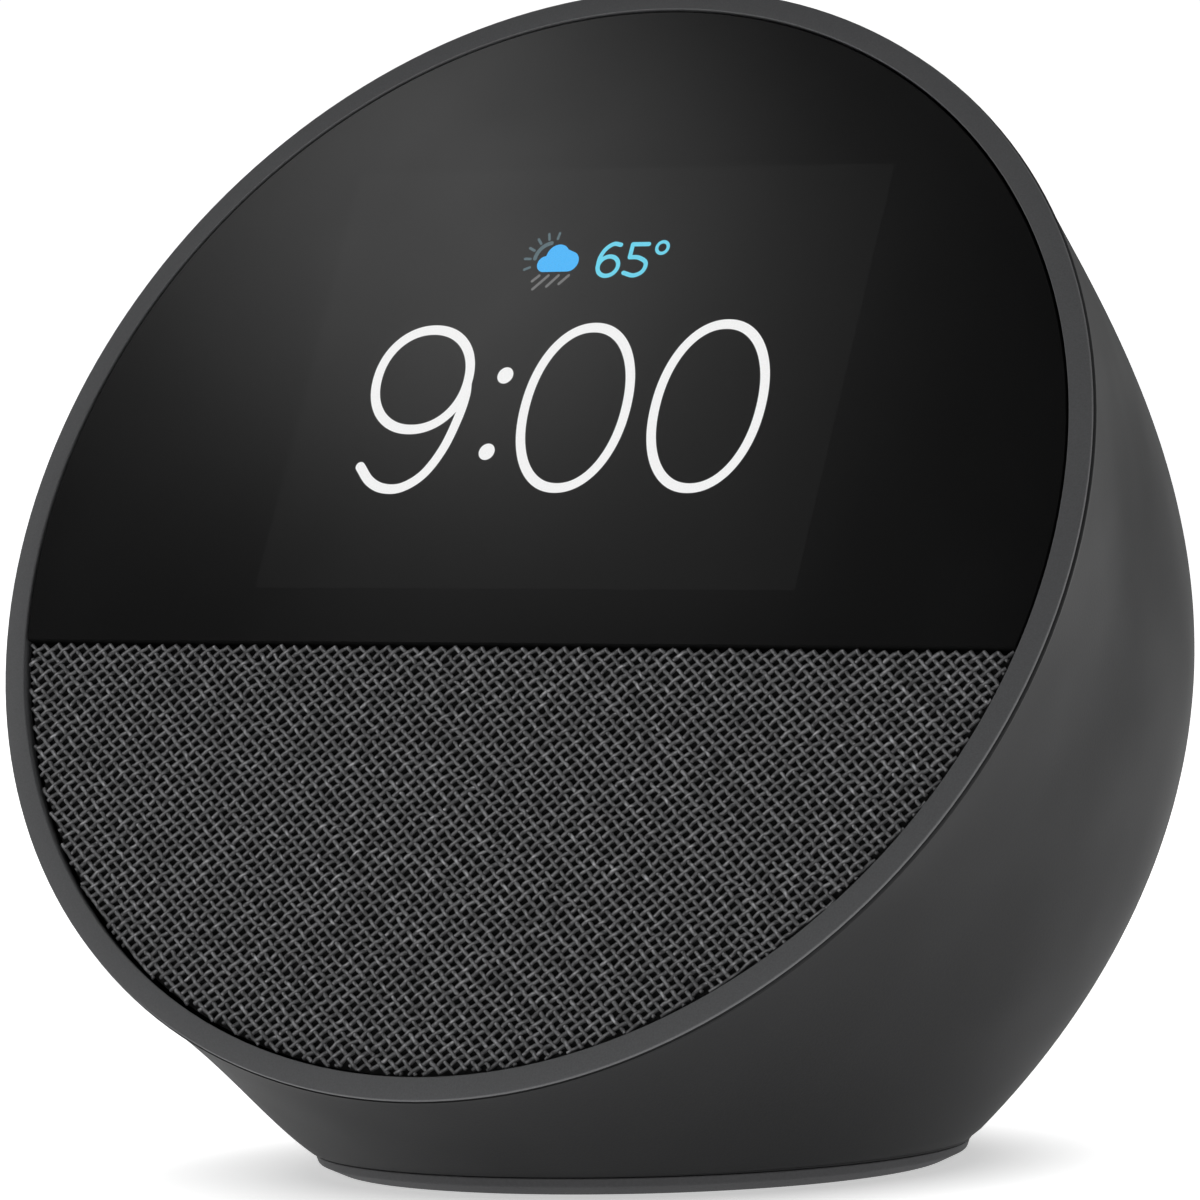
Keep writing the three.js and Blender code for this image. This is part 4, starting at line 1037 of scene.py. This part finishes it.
# The sky: white up to one height and almost black from the next, as shares of the way to the zenith.
SKY = {"white_to": 0.07, "black_from": 0.14, "black": (0.02, 0.02, 0.02), "strength": 1.05}


def make_floor():
    half = FLOOR_HALF_SIZE
    material, tree, principled = start_material("floor_white")
    faint = noise(tree, 3)
    tree.links.new(shades(tree, faint, (0.88, 0.88, 0.88), (0.9, 0.9, 0.9)), principled.inputs["Base Color"])
    principled.inputs["Roughness"].default_value = 0.9
    principled.inputs["Emission Color"].default_value = (1, 1, 1, 1)
    coordinates = tree.nodes.new("ShaderNodeTexCoord")
    offset = tree.nodes.new("ShaderNodeVectorMath")
    offset.operation = "DISTANCE"
    offset.inputs[1].default_value = (0, BASE_CENTRE_Y * MM, 0)
    tree.links.new(coordinates.outputs["Object"], offset.inputs[0])
    # Weaker glow close to the base: a painted contact shadow.
    glow_with_painted_shadow = between(tree, offset.outputs["Value"], *FLOOR_GLOW_AND_PAINTED_SHADOW, BASE_RADIUS * MM, 1.5 * BASE_RADIUS * MM)
    tree.links.new(glow_with_painted_shadow, principled.inputs["Emission Strength"])
    corners = [(-half, -half, 0), (half, -half, 0), (half, half, 0), (-half, half, 0)]
    to_object("floor", corners, [(0, 1, 2, 3)], material)


def make_world():
    world = bpy.data.worlds.new("studio")
    bpy.context.scene.world = world
    world.use_nodes = True
    tree = world.node_tree
    background = tree.nodes["Background"]
    coordinates = tree.nodes.new("ShaderNodeTexCoord")
    parts = tree.nodes.new("ShaderNodeSeparateXYZ")
    tree.links.new(coordinates.outputs["Generated"], parts.inputs["Vector"])
    sky = shades(tree, parts.outputs["Z"], (1, 1, 1), SKY["black"], SKY["white_to"], SKY["black_from"])
    tree.links.new(sky, background.inputs["Color"])
    background.inputs["Strength"].default_value = SKY["strength"]


def area_light(name, location, target, size, power):
    data = bpy.data.lights.new(name, "AREA")
    data.shape = "RECTANGLE"
    data.size, data.size_y = size
    data.energy = power
    lamp = bpy.data.objects.new(name, data)
    lamp.location = location
    direction = Vector(target) - Vector(location)
    lamp.rotation_euler = direction.to_track_quat("-Z", "Y").to_euler()
    bpy.context.scene.collection.objects.link(lamp)


# Each light: its place and the point it looks at in metres, its size in metres and its power in watts.
LIGHTS = {
    "left": ((-0.9, -0.4, 0.4), (0, 0, 0.06), (0.6, 0.6), 1.6),
    "left_back": ((-0.7, 0.6, 0.4), (0, 0, 0.06), (0.6, 0.6), 1.0),
    "low_right": ((0.3, -0.16, 0.05), (0.02, -0.03, 0.04), (0.1, 0.1), 0.06),
}
# The light whose reflection the camera sees in the glass, round a spot of the face. Metres and watts.
GLASS_LIGHT = {"spot": (-21, 36), "distance": 0.5, "size": 0.06, "power": 0.027}
SUN = {"strength": 0.9, "angle": 60, "tilt": 25, "turn": -35}


def make_lights():
    for name, (place_at, target, size, power) in LIGHTS.items():
        area_light(name, place_at, target, size, power)
    spot = FACE @ (Vector((*GLASS_LIGHT["spot"], 0)) * MM)
    toward = (bpy.context.scene.camera.matrix_world.translation - spot).normalized()
    mirrored = OUT * (2 * OUT.dot(toward)) - toward
    place_at = spot + mirrored * GLASS_LIGHT["distance"]
    size = GLASS_LIGHT["size"]
    area_light("glass_light", place_at, spot, (size, size), GLASS_LIGHT["power"])
    data = bpy.data.lights.new("sun", "SUN")
    data.energy = SUN["strength"]
    data.angle = math.radians(SUN["angle"])
    sun = bpy.data.objects.new("sun", data)
    sun.rotation_euler = (math.radians(-SUN["tilt"]), 0, math.radians(SUN["turn"]))
    bpy.context.scene.collection.objects.link(sun)


# ------------------------------------------------------------------ assembling it all

scene = bpy.context.scene
scene.view_settings.view_transform = "Standard"

make_camera()
make_floor()
make_world()
make_lights()

OUTSIDE = make_housing()
make_bezel()
make_glass()
place(make_screen_area(), "root", "cover_glass")
for shown in (make_time(), make_temperature(), *make_weather()):
    place(shown, "root", "panel")

for cloth in (make_net(), make_scrim()):
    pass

marks = button_marks()
for name in BUTTON_NAMES:
    make_button(name)
    make_mark(name, *marks[name])

make_foot()
make_inlet()
make_jack()

slot_of = {s["node"]: s["material_slot"] for s in frame["record"]["subparts"]}
CAD_MATERIALS = cad_materials()
for name, node in frame["nodes"].items():
    if slot_of[name] in CAD_MATERIALS:
        node.data.materials.clear()
        node.data.materials.append(CAD_MATERIALS[slot_of[name]])
